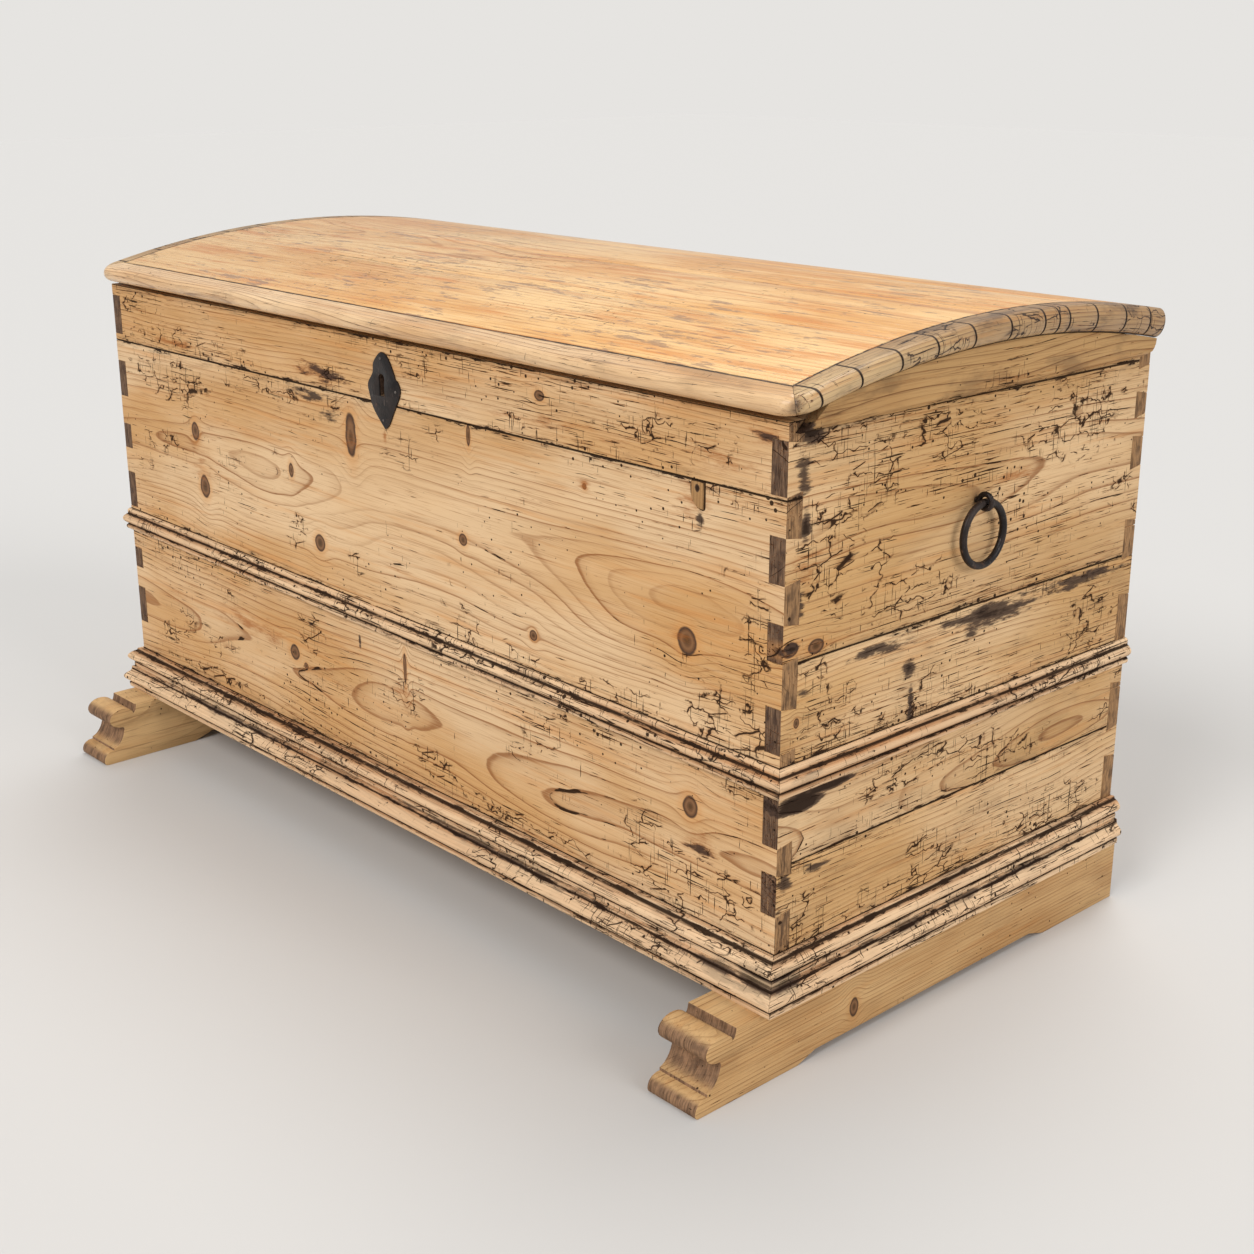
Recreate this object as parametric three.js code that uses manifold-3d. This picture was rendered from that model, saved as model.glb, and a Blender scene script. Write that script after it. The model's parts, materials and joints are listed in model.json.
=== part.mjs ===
// Blanket chest of stripped pine. A dovetailed box stands on two sledge feet with scrolled toes,
// with a mitred waist moulding and a two-stage plinth moulding round its front and ends. The lid is
// a shallow arch of four boards, edged with a round-nosed moulding that is kerfed to bend.
//
// Millimetres, +Z up. In the chest group x runs along the length, y from front to back with the
// walls centred on zero, and z starts at the floor. The root group centres the feet on the origin.

import * as THREE from 'three';
import { mergeVertices } from 'three/addons/utils/BufferGeometryUtils.js';
import Module from 'manifold-3d';

const wasm = await Module();
wasm.setup();

// Box
const BODY_LENGTH = 1200;
const BODY_DEPTH = 553;
const WALL_HEIGHT = 540;
const WALL_THICKNESS = 20;
const END_THICKNESS = 19;
const FLOOR_THICKNESS = 18;
const FLOOR_BOARDS = 3;
const BOARD_GAP = 0.6;
const FIT_GAP = 0.3;
const CUT_OVERRUN = 2;

// Height on the wall of each board joint, at its left and right end, from the floor boards up
const FRONT_JOINT_SHARES = [[0.415, 0.389], [0.865, 0.873]];
const BACK_JOINT_SHARES = [[0.31, 0.31], [0.65, 0.65]];
const END_JOINT_SHARES = [[0.251, 0.231], [0.593, 0.593]];

// Dovetails: bottom and top of each tail on the end boards, and how fast a tail narrows inwards
const TAIL_SLOPE = 0.16;
const TAIL_GAP = 0.15;
const FRONT_RIGHT_TAIL_SHARES = [
  [0.019, 0.067], [0.139, 0.217], [0.267, 0.363], [0.437, 0.519], [0.598, 0.665], [0.731, 0.811],
  [0.878, 0.969],
];
const FRONT_LEFT_TAIL_SHARES = [
  [0.019, 0.067], [0.144, 0.237], [0.289, 0.341], [0.448, 0.537], [0.598, 0.659], [0.728, 0.815],
  [0.881, 0.974],
];
const BACK_TAIL_SHARES = [
  [0.019, 0.067], [0.159, 0.225], [0.319, 0.404], [0.507, 0.589], [0.661, 0.772], [0.828, 0.874],
  [0.915, 0.97],
];

// Plug let into the front below its upper joint, at a share of the length from the left
const PLUG_PLACE_SHARE = 0.91;
const PLUG_WIDTH = 19;
const PLUG_HEIGHT = 27;
const PLUG_DEPTH = 8;
const PLUG_RISE = 0.8;
const PLUG_GAP = 0.2;

// Sledge feet, run from front to back
const FOOT_HEIGHT = 76;
const FOOT_WIDTH = 64;
const FOOT_OUTSET = 2;
const FOOT_FRONT_REACH = 103;
const FOOT_BACK_REACH = 15;
const SCROLL_DEPTH = 74;
const ROLL_DEPTH = 37;
const ROLL_HEIGHT = 26;
const FOOT_NOTCH_HEIGHT = 8;
const FOOT_NOTCH_FRONT_INSET = 138;
const FOOT_NOTCH_BACK_INSET = 132;
const FOOT_NOTCH_RAMP = 26;

// Waist moulding, set out of level along the front
const WAIST_HEIGHT = 28;
const WAIST_REACH = 9.5;
const WAIST_LEFT_SHARE = 0.389;
const WAIST_RIGHT_SHARE = 0.363;

// Plinth moulding in two stages: how far it stands out at the ends, and the share of that at the front
const PLINTH_LOWER_HEIGHT = 29;
const PLINTH_LOWER_REACH = 18;
const PLINTH_UPPER_HEIGHT = 26;
const PLINTH_UPPER_REACH = 13.5;
const PLINTH_FRONT_SHARE = 1.4;
const MITRE_GAP = 0.3;

// Lid
const LID_RADIUS = 1262;
const LID_FRONT_THICKNESS = 18.5;
const LID_BACK_THICKNESS = 30;
const LID_BOARDS = 4;
const LID_RIM_GAP = 6;
const LID_APEX_SETBACK = 12;
const LID_LEFT_INSET = 18;
const LID_RIGHT_INSET = 9;
const LID_FRONT_INSET = 12.5;
const LID_BACK_INSET = 10;
const LID_SEAT_GAP = 0.3;
const LID_ARC_STEP = THREE.MathUtils.degToRad(1.1);
const NOSE_WIDTH = 30;
const NOSE_ROUND = 10;
const NOSE_JOINT_GAP = 0.3;
const CORNER_STEPS = 4;
const KERF_SHARES = [
  0.004, 0.102, 0.204, 0.299, 0.4, 0.502, 0.601, 0.645, 0.677, 0.766, 0.861, 0.946,
];
const KERF_WIDTH = 1.2;
const KERF_DEPTH_SHARE = 0.8;
const CLEAT_THICKNESS = 12;
const CLEAT_SIDE_GAP = 1;
const CLEAT_OVERLAP = 10;
const CLEAT_RISE = 5;
const CLEAT_FRONT_INSET = 6;
const CLEAT_FRONT_SLANT = 30;
const CLEAT_BACK_INSET = 12;
const CLEAT_BACK_CURVE = 32;
const CLEAT_BEVEL = 6;

// Strap hinges on the back
const HINGE_SPREAD = 760;
const HINGE_WIDTH = 34;
const STRAP_THICKNESS = 3;
const BODY_STRAP_LENGTH = 130;
const LID_STRAP_LENGTH = 220;
const STRAP_POINT = 28;
const KNUCKLE_RADIUS = 5.5;
const HINGE_PIN_RADIUS = 2.5;
const HINGE_PIN_LENGTH = 38;
const HINGE_AXIS_RISE = 4.2;
const KNUCKLE_GAP = 0.6;
const KNUCKLE_RELIEF = 2;

// Lock, keyhole and escutcheon
const LOCK_OFFSET = 7.4;
const ESCUTCHEON_OFFSET = 9.5;
const ESCUTCHEON_WIDTH = 60;
const ESCUTCHEON_HEIGHT = 84;
const ESCUTCHEON_THICKNESS = 1.8;
const ESCUTCHEON_DROP = 14;
const KEYHOLE_RADIUS = 5.3;
const KEYHOLE_SLOT_WIDTH = 9;
const KEYHOLE_LENGTH = 24;
const KEYHOLE_DROP = 38;
const LOCK_LENGTH = 90;
const LOCK_HEIGHT = 64;
const LOCK_DEPTH = 18;
const LOCK_PLATE = 2;
const LOCK_DROP = 2;
const BOLT_HEIGHT = 8;
const BOLT_THICKNESS = 5;
const BOLT_NOSE_LENGTH = 14;
const BOLT_TAIL_HEIGHT = 18;
const BOLT_DRAW = 12;
const STAPLE_THICKNESS = 4;
const STAPLE_WIDTH = 11;
const STAPLE_SIDE_WALL = 2;
const STAPLE_TIP = 5;
const STAPLE_CLEARANCE = 1;
const STAPLE_PLATE_LENGTH = 56;
const STAPLE_PLATE_DEPTH = 18;
const STAPLE_PLATE_THICKNESS = 2;

// Ring handles on the ends
const HANDLE_DROP = 113;
const HANDLE_SETBACK = -9;
const RING_RADIUS = 31.4;
const RING_WIRE_RADIUS = 3.8;
const RING_STANDOFF = 11;
const EYE_HOLE_RADIUS = 4.6;
const EYE_WIRE_RADIUS = 2.7;
const SHANK_RADIUS = 2.5;
const CLENCH_LENGTH = 30;
const CLENCH_THICKNESS = 3;

// Till at the left end
const TILL_LENGTH = 170;
const TILL_DEPTH = 132;
const TILL_DROP = 10;
const TILL_BOARD = 10;
const TILL_HOUSING = 6;

// Facets of a full circle, and of the curves in an outline
const ROUND_SIDES = 16;
const CURVE_STEPS = 7;

const halfLength = BODY_LENGTH / 2;
const halfDepth = BODY_DEPTH / 2;
const floorTop = FOOT_HEIGHT + FLOOR_THICKNESS;
const rim = floorTop + WALL_HEIGHT;
const innerHalfLength = halfLength - END_THICKNESS;
const innerHalfDepth = halfDepth - WALL_THICKNESS;

const wallHeightAt = (share) => floorTop + WALL_HEIGHT * share;

// Solids

function solidFrom(geometry) {
  const bare = geometry.clone();
  bare.deleteAttribute('normal');
  bare.deleteAttribute('uv');
  const merged = mergeVertices(bare);
  return new wasm.Manifold(new wasm.Mesh({
    numProp: 3,
    vertProperties: merged.attributes.position.array,
    triVerts: new Uint32Array(merged.index.array),
  }));
}

function geometryFrom(solid) {
  const mesh = solid.getMesh();
  const geometry = new THREE.BufferGeometry();
  geometry.setAttribute('position', new THREE.BufferAttribute(mesh.vertProperties, 3));
  geometry.setIndex(new THREE.BufferAttribute(mesh.triVerts, 1));
  geometry.computeVertexNormals();
  return geometry;
}

const joined = (first, ...rest) => rest.reduce((whole, piece) => whole.add(piece), first);
const cut = (first, ...rest) => rest.reduce((whole, piece) => whole.subtract(piece), first);

function block([x0, x1], [y0, y1], [z0, z1]) {
  const box = new THREE.BoxGeometry(x1 - x0, y1 - y0, z1 - z0);
  return solidFrom(box.translate((x0 + x1) / 2, (y0 + y1) / 2, (z0 + z1) / 2));
}

function extruded(shape, depth) {
  return new THREE.ExtrudeGeometry(shape, { depth, bevelEnabled: false, curveSegments: CURVE_STEPS });
}

// A prism whose section is drawn in y and z, running along x.
function prismAlongX(shape, [from, to]) {
  const turn = new THREE.Matrix4().makeBasis(
    new THREE.Vector3(0, 1, 0), new THREE.Vector3(0, 0, 1), new THREE.Vector3(1, 0, 0),
  );
  return solidFrom(extruded(shape, to - from).applyMatrix4(turn).translate(from, 0, 0));
}

// A prism whose section is drawn in x and z, running along y.
function prismAlongY(shape, [from, to]) {
  return solidFrom(extruded(shape, to - from).rotateX(Math.PI / 2).translate(0, to, 0));
}

function rodAlongX(radius, [from, to], y, z) {
  const rod = new THREE.CylinderGeometry(radius, radius, to - from, ROUND_SIDES);
  return solidFrom(rod.rotateZ(Math.PI / 2).translate((from + to) / 2, y, z));
}

const outline = (points) => new THREE.Shape(points.map(([a, b]) => new THREE.Vector2(a, b)));

// A skin through closed rings of equal length, with flat caps on the first and the last ring.
function loft(rings) {
  const count = rings[0].length;
  const points = rings.flat();
  const faces = [];
  for (let ring = 0; ring + 1 < rings.length; ring += 1) {
    for (let i = 0; i < count; i += 1) {
      const a = ring * count + i;
      const b = ring * count + (i + 1) % count;
      faces.push([a, b, b + count], [a, b + count, a + count]);
    }
  }
  const [origin, second] = rings[0];
  const along = second.clone().sub(origin).normalize();
  const across = rings[0].map((point) => point.clone().sub(origin))
    .reduce((best, point) => {
      const side = point.sub(along.clone().multiplyScalar(point.dot(along)));
      return side.length() > best.length() ? side : best;
    }, new THREE.Vector3())
    .normalize();
  const flat = rings[0].map((point) => {
    const offset = point.clone().sub(origin);
    return new THREE.Vector2(offset.dot(along), offset.dot(across));
  });
  const last = (rings.length - 1) * count;
  const clockwise = THREE.ShapeUtils.isClockWise(flat);
  for (const face of THREE.ShapeUtils.triangulateShape(flat, [])) {
    const sameTurn = THREE.ShapeUtils.isClockWise(face.map((i) => flat[i])) === clockwise;
    const [a, b, c] = sameTurn ? face : face.reverse();
    faces.push([a, c, b], [last + a, last + b, last + c]);
  }
  const geometry = new THREE.BufferGeometry().setFromPoints(points);
  geometry.setIndex(facingOut(points, faces).flat());
  return solidFrom(geometry);
}

function facingOut(points, faces) {
  const volume = faces.reduce((sum, face) => {
    const [a, b, c] = face.map((i) => points[i].clone());
    return sum + a.dot(b.cross(c));
  }, 0);
  return volume < 0 ? faces.map((face) => [...face].reverse()) : faces;
}

// The same solid on the other side of the plane x = 0.
function mirrored(solid) {
  const geometry = geometryFrom(solid).scale(-1, 1, 1);
  geometry.index.array.reverse();
  return solidFrom(geometry);
}

// Walls

const spansFrom = (shares) => shares.map((pair) => pair.map(wallHeightAt));

// The dovetailed edge of an end board, from bottom to top, at the front (-1) or back (1).
function tailEdge(end, spans) {
  const outer = end * halfDepth;
  const rootDepth = WALL_THICKNESS + TAIL_GAP;
  const root = end * (halfDepth - rootDepth);
  const narrowing = TAIL_SLOPE * rootDepth;
  return spans.flatMap(([low, high]) => [
    [root, low + narrowing], [outer, low], [outer, high], [root, high - narrowing],
  ]);
}

// The sockets that one end board's tails need in the front (-1) or back (1) wall.
function tailSockets(end, spans, xRange) {
  return spans.map(([low, high]) => {
    const near = -CUT_OVERRUN;
    const far = WALL_THICKNESS + CUT_OVERRUN;
    const at = (depth, edge, way) => (
      [end * (halfDepth - depth), edge + way * (TAIL_GAP - TAIL_SLOPE * depth)]
    );
    return prismAlongX(outline([
      at(near, low, -1), at(near, high, 1), at(far, high, 1), at(far, low, -1),
    ]), xRange);
  });
}

const TAILS = {
  left: { front: spansFrom(FRONT_LEFT_TAIL_SHARES), back: spansFrom(BACK_TAIL_SHARES) },
  right: { front: spansFrom(FRONT_RIGHT_TAIL_SHARES), back: spansFrom(BACK_TAIL_SHARES) },
};

// Lid arch: an arc about an axis along x. An angle of zero is the apex, negative to the front.

const archY = LID_APEX_SETBACK;
const frontReach = halfDepth + archY;
const archZ = rim + LID_RIM_GAP - Math.sqrt(LID_RADIUS ** 2 - frontReach ** 2);
const angleAt = (y, radius) => Math.asin((y - archY) / radius);
const lidFrontAngle = angleAt(LID_FRONT_INSET - halfDepth, LID_RADIUS + LID_FRONT_THICKNESS);
const lidBackAngle = angleAt(halfDepth - LID_BACK_INSET, LID_RADIUS + LID_BACK_THICKNESS);
const lidAngleAt = (share) => lidFrontAngle + (lidBackAngle - lidFrontAngle) * share;
const lidThicknessAt = (angle) => LID_FRONT_THICKNESS + (LID_BACK_THICKNESS - LID_FRONT_THICKNESS)
  * (angle - lidFrontAngle) / (lidBackAngle - lidFrontAngle);
const onArch = (angle, radius) => [archY + radius * Math.sin(angle), archZ + radius * Math.cos(angle)];
const underLidAt = (y) => archZ + Math.sqrt(LID_RADIUS ** 2 - (y - archY) ** 2);

function arcAngles(from, to) {
  const steps = Math.max(1, Math.round(Math.abs(to - from) / LID_ARC_STEP));
  return Array.from({ length: steps + 1 }, (_, i) => from + (to - from) * i / steps);
}

function archBand([from, to], [inner, outerAt], xRange) {
  const angles = arcAngles(from, to);
  const upper = angles.map((angle) => onArch(angle, outerAt(angle)));
  const lower = angles.reverse().map((angle) => onArch(angle, inner));
  return prismAlongX(outline([...upper, ...lower]), xRange);
}

// The side view of an end board: dovetails front and back, and an arched top that carries the lid.
function endWall(side) {
  const rise = underLidAt(0) - LID_SEAT_GAP - rim;
  const radius = (halfDepth ** 2 + rise ** 2) / (2 * rise);
  const spread = Math.asin(halfDepth / radius);
  const centre = rim + rise - radius;
  const root = innerHalfDepth - TAIL_GAP;
  const arch = arcAngles(-spread, spread)
    .map((angle) => [radius * Math.sin(angle), centre + radius * Math.cos(angle)])
    .filter(([y]) => Math.abs(y) < root);
  const tails = TAILS[side];
  return outline([
    [-root, floorTop], ...tailEdge(-1, tails.front), [-root, rim], ...arch,
    [root, rim], ...tailEdge(1, tails.back).reverse(), [root, floorTop],
  ]);
}

// One board for each strip of wall between neighbouring joints, the lowest first.
function boardsOf(wall, jointShares) {
  const reach = halfLength + CUT_OVERRUN;
  const levels = [[0, 0], ...jointShares.map((pair) => pair.map(wallHeightAt)), [2 * rim, 2 * rim]];
  return levels.slice(1).map(([highLeft, highRight], i) => {
    const [lowLeft, lowRight] = levels[i];
    const strip = outline([
      [-reach, lowLeft + BOARD_GAP / 2], [reach, lowRight + BOARD_GAP / 2],
      [reach, highRight - BOARD_GAP / 2], [-reach, highLeft - BOARD_GAP / 2],
    ]);
    return wall.intersect(prismAlongY(strip, [-halfDepth - CUT_OVERRUN, halfDepth + CUT_OVERRUN]));
  });
}

// Keyhole: a round head over a straight slot, the same through the plate and the board

const keyholeTop = rim - KEYHOLE_DROP;

function keyhole(yRange) {
  const half = KEYHOLE_SLOT_WIDTH / 2;
  const lip = Math.acos(half / KEYHOLE_RADIUS);
  const shape = new THREE.Shape();
  shape.moveTo(LOCK_OFFSET - half, keyholeTop - KEYHOLE_LENGTH);
  shape.lineTo(LOCK_OFFSET + half, keyholeTop - KEYHOLE_LENGTH);
  shape.absarc(LOCK_OFFSET, keyholeTop - KEYHOLE_RADIUS, KEYHOLE_RADIUS, -lip, Math.PI + lip, false);
  return prismAlongY(shape, yRange);
}

// Plug: flat along the joint, straight on its right and round at its lower left

const [plugJointLeft, plugJointRight] = FRONT_JOINT_SHARES[1].map(wallHeightAt);
const plugTop = plugJointLeft + (plugJointRight - plugJointLeft) * PLUG_PLACE_SHARE - BOARD_GAP / 2;
const plugX = BODY_LENGTH * PLUG_PLACE_SHARE - halfLength;
const plugBack = PLUG_DEPTH - halfDepth;

function frontPlug(grown, yRange) {
  const at = (sideShare, dropShare) => [
    plugX + (PLUG_WIDTH / 2 + grown) * sideShare,
    plugTop + grown - (PLUG_HEIGHT + 2 * grown) * dropShare,
  ];
  const shape = new THREE.Shape();
  shape.moveTo(...at(1, 0));
  shape.lineTo(...at(1, 0.84));
  shape.quadraticCurveTo(...at(1, 1), ...at(0.6, 1));
  shape.bezierCurveTo(...at(-0.2, 1), ...at(-1, 0.7), ...at(-1, 0.3));
  shape.quadraticCurveTo(...at(-1, 0), ...at(-0.6, 0));
  return prismAlongY(shape, yRange);
}

// Till

const tillTop = rim - TILL_DROP;
const tillBottom = tillTop - TILL_DEPTH;
const tillFront = [TILL_LENGTH - innerHalfLength, TILL_LENGTH + TILL_BOARD - innerHalfLength];
const tillReach = innerHalfDepth + TILL_HOUSING;

// The grooves in one long wall, front (-1) or back (1), that take the ends of the till's boards.
function tillGrooves(end) {
  const depths = [end * (innerHalfDepth - CUT_OVERRUN), end * tillReach].sort((a, b) => a - b);
  const [left, right] = tillFront;
  return [
    block([left - FIT_GAP, right + FIT_GAP], depths, [tillBottom - FIT_GAP, rim + CUT_OVERRUN]),
    block(
      [-innerHalfLength, left], depths, [tillBottom - FIT_GAP, tillBottom + TILL_BOARD + FIT_GAP],
    ),
  ];
}

function longWall(end) {
  const depths = [end * innerHalfDepth, end * halfDepth].sort((a, b) => a - b);
  const where = end < 0 ? 'front' : 'back';
  const leftCut = [-halfLength - CUT_OVERRUN, -innerHalfLength + TAIL_GAP];
  const rightCut = [innerHalfLength - TAIL_GAP, halfLength + CUT_OVERRUN];
  return cut(
    block([-halfLength, halfLength], depths, [floorTop, rim]),
    ...tailSockets(end, TAILS.left[where], leftCut),
    ...tailSockets(end, TAILS.right[where], rightCut),
    ...tillGrooves(end),
  );
}

function floorBoards() {
  const width = (BODY_DEPTH - BOARD_GAP * (FLOOR_BOARDS - 1)) / FLOOR_BOARDS;
  return Array.from({ length: FLOOR_BOARDS }, (_, i) => {
    const near = -halfDepth + i * (width + BOARD_GAP);
    const far = i + 1 === FLOOR_BOARDS ? halfDepth : near + width;
    return block([-halfLength, halfLength], [near, far], [FOOT_HEIGHT, floorTop]);
  });
}

// Wall mouldings. A profile is drawn outwards from the wall and upwards from the lower edge.

function profile(reach, height, draw) {
  const path = new THREE.Path();
  const at = (reachShare, heightShare) => [reach * reachShare, height * heightShare];
  path.moveTo(0, 0);
  draw(path, at);
  path.lineTo(0, height);
  return path.getPoints(CURVE_STEPS);
}

const waistProfile = profile(WAIST_REACH, WAIST_HEIGHT, (path, at) => {
  path.lineTo(...at(0.55, 0));
  path.quadraticCurveTo(...at(0.8, 0.1), ...at(0.55, 0.2));
  path.lineTo(...at(0.42, 0.24));
  path.lineTo(...at(0.6, 0.28));
  path.quadraticCurveTo(...at(1.4, 0.48), ...at(0.6, 0.7));
  path.lineTo(...at(0.42, 0.74));
  path.lineTo(...at(0.42, 0.92));
  path.lineTo(...at(0.2, 1));
});

const plinthUpperProfile = profile(PLINTH_UPPER_REACH, PLINTH_UPPER_HEIGHT, (path, at) => {
  path.lineTo(...at(0.62, 0));
  path.lineTo(...at(0.62, 0.22));
  path.lineTo(...at(0.52, 0.27));
  path.lineTo(...at(0.66, 0.32));
  path.quadraticCurveTo(...at(1.37, 0.58), ...at(0.6, 0.86));
  path.lineTo(...at(0.42, 0.9));
  path.lineTo(...at(0.36, 1));
});

const plinthLowerProfile = profile(PLINTH_LOWER_REACH, PLINTH_LOWER_HEIGHT, (path, at) => {
  path.lineTo(...at(0.74, 0));
  path.lineTo(...at(0.76, 0.2));
  path.lineTo(...at(0.67, 0.25));
  path.lineTo(...at(0.76, 0.29));
  path.quadraticCurveTo(...at(1.25, 0.5), ...at(0.74, 0.74));
  path.quadraticCurveTo(...at(0.6, 0.8), ...at(0.6, 1));
});

// The run along the front, mitred at both ends, with its own height at each end.
function frontMoulding(points, [leftHeight, rightHeight], frontShare) {
  const ring = (side, height) => points.map(({ x: out, y: up }) => new THREE.Vector3(
    side * (halfLength + out - MITRE_GAP / 2), -halfDepth - out * frontShare, height + up,
  ));
  return loft([ring(-1, leftHeight), ring(1, rightHeight)]);
}

// The run along one end, mitred at the front and cut square at the back.
function endMoulding(points, side, height, frontShare) {
  const ring = (yAt) => points.map(({ x: out, y: up }) => (
    new THREE.Vector3(side * (halfLength + out), yAt(out), height + up)
  ));
  return loft([ring((out) => MITRE_GAP / 2 - halfDepth - out * frontShare), ring(() => halfDepth)]);
}

// Feet: the toe, cove, roll and shoulder of the scroll, then a shallow notch under the middle

function footProfile() {
  const toe = -halfDepth - FOOT_FRONT_REACH;
  const heel = halfDepth + FOOT_BACK_REACH;
  const at = (depthShare, heightShare) => [toe + SCROLL_DEPTH * depthShare, FOOT_HEIGHT * heightShare];
  const shape = new THREE.Shape();
  shape.moveTo(...at(0.09, 0));
  shape.quadraticCurveTo(...at(0, 0), ...at(0, 0.08));
  shape.quadraticCurveTo(...at(0.01, 0.21), ...at(0.155, 0.237));
  shape.lineTo(...at(0.21, 0.237));
  shape.lineTo(...at(0.21, 0.276));
  shape.quadraticCurveTo(...at(0.385, 0.33), ...at(0.446, 0.6));
  const roll = [...at(0.426, 0.81), ROLL_DEPTH / 2, ROLL_HEIGHT / 2];
  shape.absellipse(...roll, -Math.PI / 2, -Math.PI * 11 / 6, true);
  shape.lineTo(...at(0.645, 0.85));
  shape.quadraticCurveTo(...at(0.7, 0.88), ...at(0.71, 1));
  shape.lineTo(heel, FOOT_HEIGHT);
  shape.lineTo(heel, 0);
  shape.lineTo(heel - FOOT_NOTCH_BACK_INSET, 0);
  shape.lineTo(heel - FOOT_NOTCH_BACK_INSET - FOOT_NOTCH_RAMP, FOOT_NOTCH_HEIGHT);
  shape.lineTo(toe + FOOT_NOTCH_FRONT_INSET + FOOT_NOTCH_RAMP, FOOT_NOTCH_HEIGHT);
  shape.lineTo(toe + FOOT_NOTCH_FRONT_INSET, 0);
  return shape;
}

function foot(side) {
  const outer = side * (halfLength + FOOT_OUTSET);
  const inner = outer - side * FOOT_WIDTH;
  return prismAlongX(footProfile(), [Math.min(outer, inner), Math.max(outer, inner)]);
}

// Lid

const panelLeft = LID_LEFT_INSET - halfLength;
const panelRight = halfLength - LID_RIGHT_INSET;

function lidBoards() {
  const gapAngle = BOARD_GAP / LID_RADIUS;
  const pitch = (lidBackAngle - lidFrontAngle + gapAngle) / LID_BOARDS;
  const topAt = (angle) => LID_RADIUS + lidThicknessAt(angle);
  return Array.from({ length: LID_BOARDS }, (_, i) => {
    const start = lidFrontAngle + i * pitch;
    return archBand([start, start + pitch - gapAngle], [LID_RADIUS, topAt], [panelLeft, panelRight]);
  });
}

// The lid moulding's section: x is the distance out from the panel, and y the share of the lid's
// thickness. It is square where it meets the panel, with a full round nose.
const nosePoints = (() => {
  const path = new THREE.Path();
  path.moveTo(NOSE_JOINT_GAP, 0);
  path.absellipse(NOSE_WIDTH - NOSE_ROUND, 1 / 2, NOSE_ROUND, 1 / 2, -Math.PI / 2, Math.PI / 2, false);
  path.lineTo(NOSE_JOINT_GAP, 1);
  return path.getPoints(CURVE_STEPS + 1);
})();

// The section turned about a front corner of the panel: a turn of zero points along x. The shift
// moves it squarely off the mitre.
function cornerRing(cornerX, side, turn, shift) {
  const fall = lidFrontAngle;
  return nosePoints.map(({ x: out, y: share }) => {
    const [y, z] = onArch(fall, LID_RADIUS + LID_FRONT_THICKNESS * share);
    const forward = out * Math.sin(turn) + shift * Math.cos(turn);
    const sideways = out * Math.cos(turn) - shift * Math.sin(turn);
    return new THREE.Vector3(
      cornerX + side * sideways, y - forward * Math.cos(fall), z + forward * Math.sin(fall),
    );
  });
}

const eighthTurns = Array.from({ length: CORNER_STEPS }, (_, i) => (i + 1) / CORNER_STEPS * Math.PI / 4);

function lidFrontMoulding() {
  const cornerRings = (cornerX, side) => [0, ...eighthTurns].map((turn, i) => (
    cornerRing(cornerX, side, Math.PI / 2 - turn, i === CORNER_STEPS ? MITRE_GAP / 2 : 0)
  ));
  return loft([...cornerRings(panelLeft, -1).reverse(), ...cornerRings(panelRight, 1)]);
}

function kerf(angle, [x0, x1]) {
  const height = KERF_DEPTH_SHARE * lidThicknessAt(angle) + CUT_OVERRUN;
  const slot = new THREE.BoxGeometry(x1 - x0 + 2 * CUT_OVERRUN, KERF_WIDTH, height);
  slot.translate((x0 + x1) / 2, KERF_WIDTH / 2, LID_RADIUS - CUT_OVERRUN + height / 2);
  return solidFrom(slot.rotateX(-angle).translate(0, archY, archZ));
}

// An end moulding: it follows the arch, then wraps half of the front corner.
function lidEndMoulding(cornerX, side) {
  const alongArch = arcAngles(lidBackAngle, lidFrontAngle).map((angle) => (
    nosePoints.map(({ x: out, y: share }) => new THREE.Vector3(
      cornerX + side * out, ...onArch(angle, LID_RADIUS + lidThicknessAt(angle) * share),
    ))
  ));
  const corner = eighthTurns.map((turn, i) => (
    cornerRing(cornerX, side, turn, i + 1 === CORNER_STEPS ? -MITRE_GAP / 2 : 0)
  ));
  const xRange = [cornerX, cornerX + side * NOSE_WIDTH].sort((a, b) => a - b);
  const slots = KERF_SHARES.map((share) => kerf(lidAngleAt(share), xRange));
  return cut(loft([...alongArch, ...corner]), ...slots);
}

// The right-hand cleat: it fills the arch outside the box and laps over the top of the end board.
function lidCleat() {
  const inner = halfLength + CLEAT_SIDE_GAP;
  const outer = inner + CLEAT_THICKNESS;
  const front = CLEAT_FRONT_INSET - halfDepth;
  const back = halfDepth - CLEAT_BACK_INSET;
  const low = rim - CLEAT_OVERLAP;
  const radius = LID_RADIUS - LID_SEAT_GAP;
  const arch = arcAngles(angleAt(front + CLEAT_FRONT_SLANT, radius), angleAt(back, radius));
  const shape = new THREE.Shape();
  shape.moveTo(front, low);
  arch.forEach((angle) => shape.lineTo(...onArch(angle, radius)));
  const knee = back - CLEAT_BACK_CURVE;
  shape.quadraticCurveTo(back, low + CLEAT_RISE, knee, low + CLEAT_RISE);
  const bevelRing = (y, z) => [
    new THREE.Vector3(outer + CUT_OVERRUN, y, z - CUT_OVERRUN),
    new THREE.Vector3(outer - CLEAT_BEVEL - CUT_OVERRUN, y, z - CUT_OVERRUN),
    new THREE.Vector3(outer + CUT_OVERRUN, y, z + CLEAT_BEVEL + CUT_OVERRUN),
  ];
  const bevel = loft([
    bevelRing(front - CUT_OVERRUN, low), bevelRing(back + CUT_OVERRUN, low + CLEAT_RISE),
  ]);
  return cut(prismAlongX(shape, [inner, outer]), bevel);
}

// Hinges, drawn about x = 0. The axis lies just behind the back wall and above its top edge.

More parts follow.
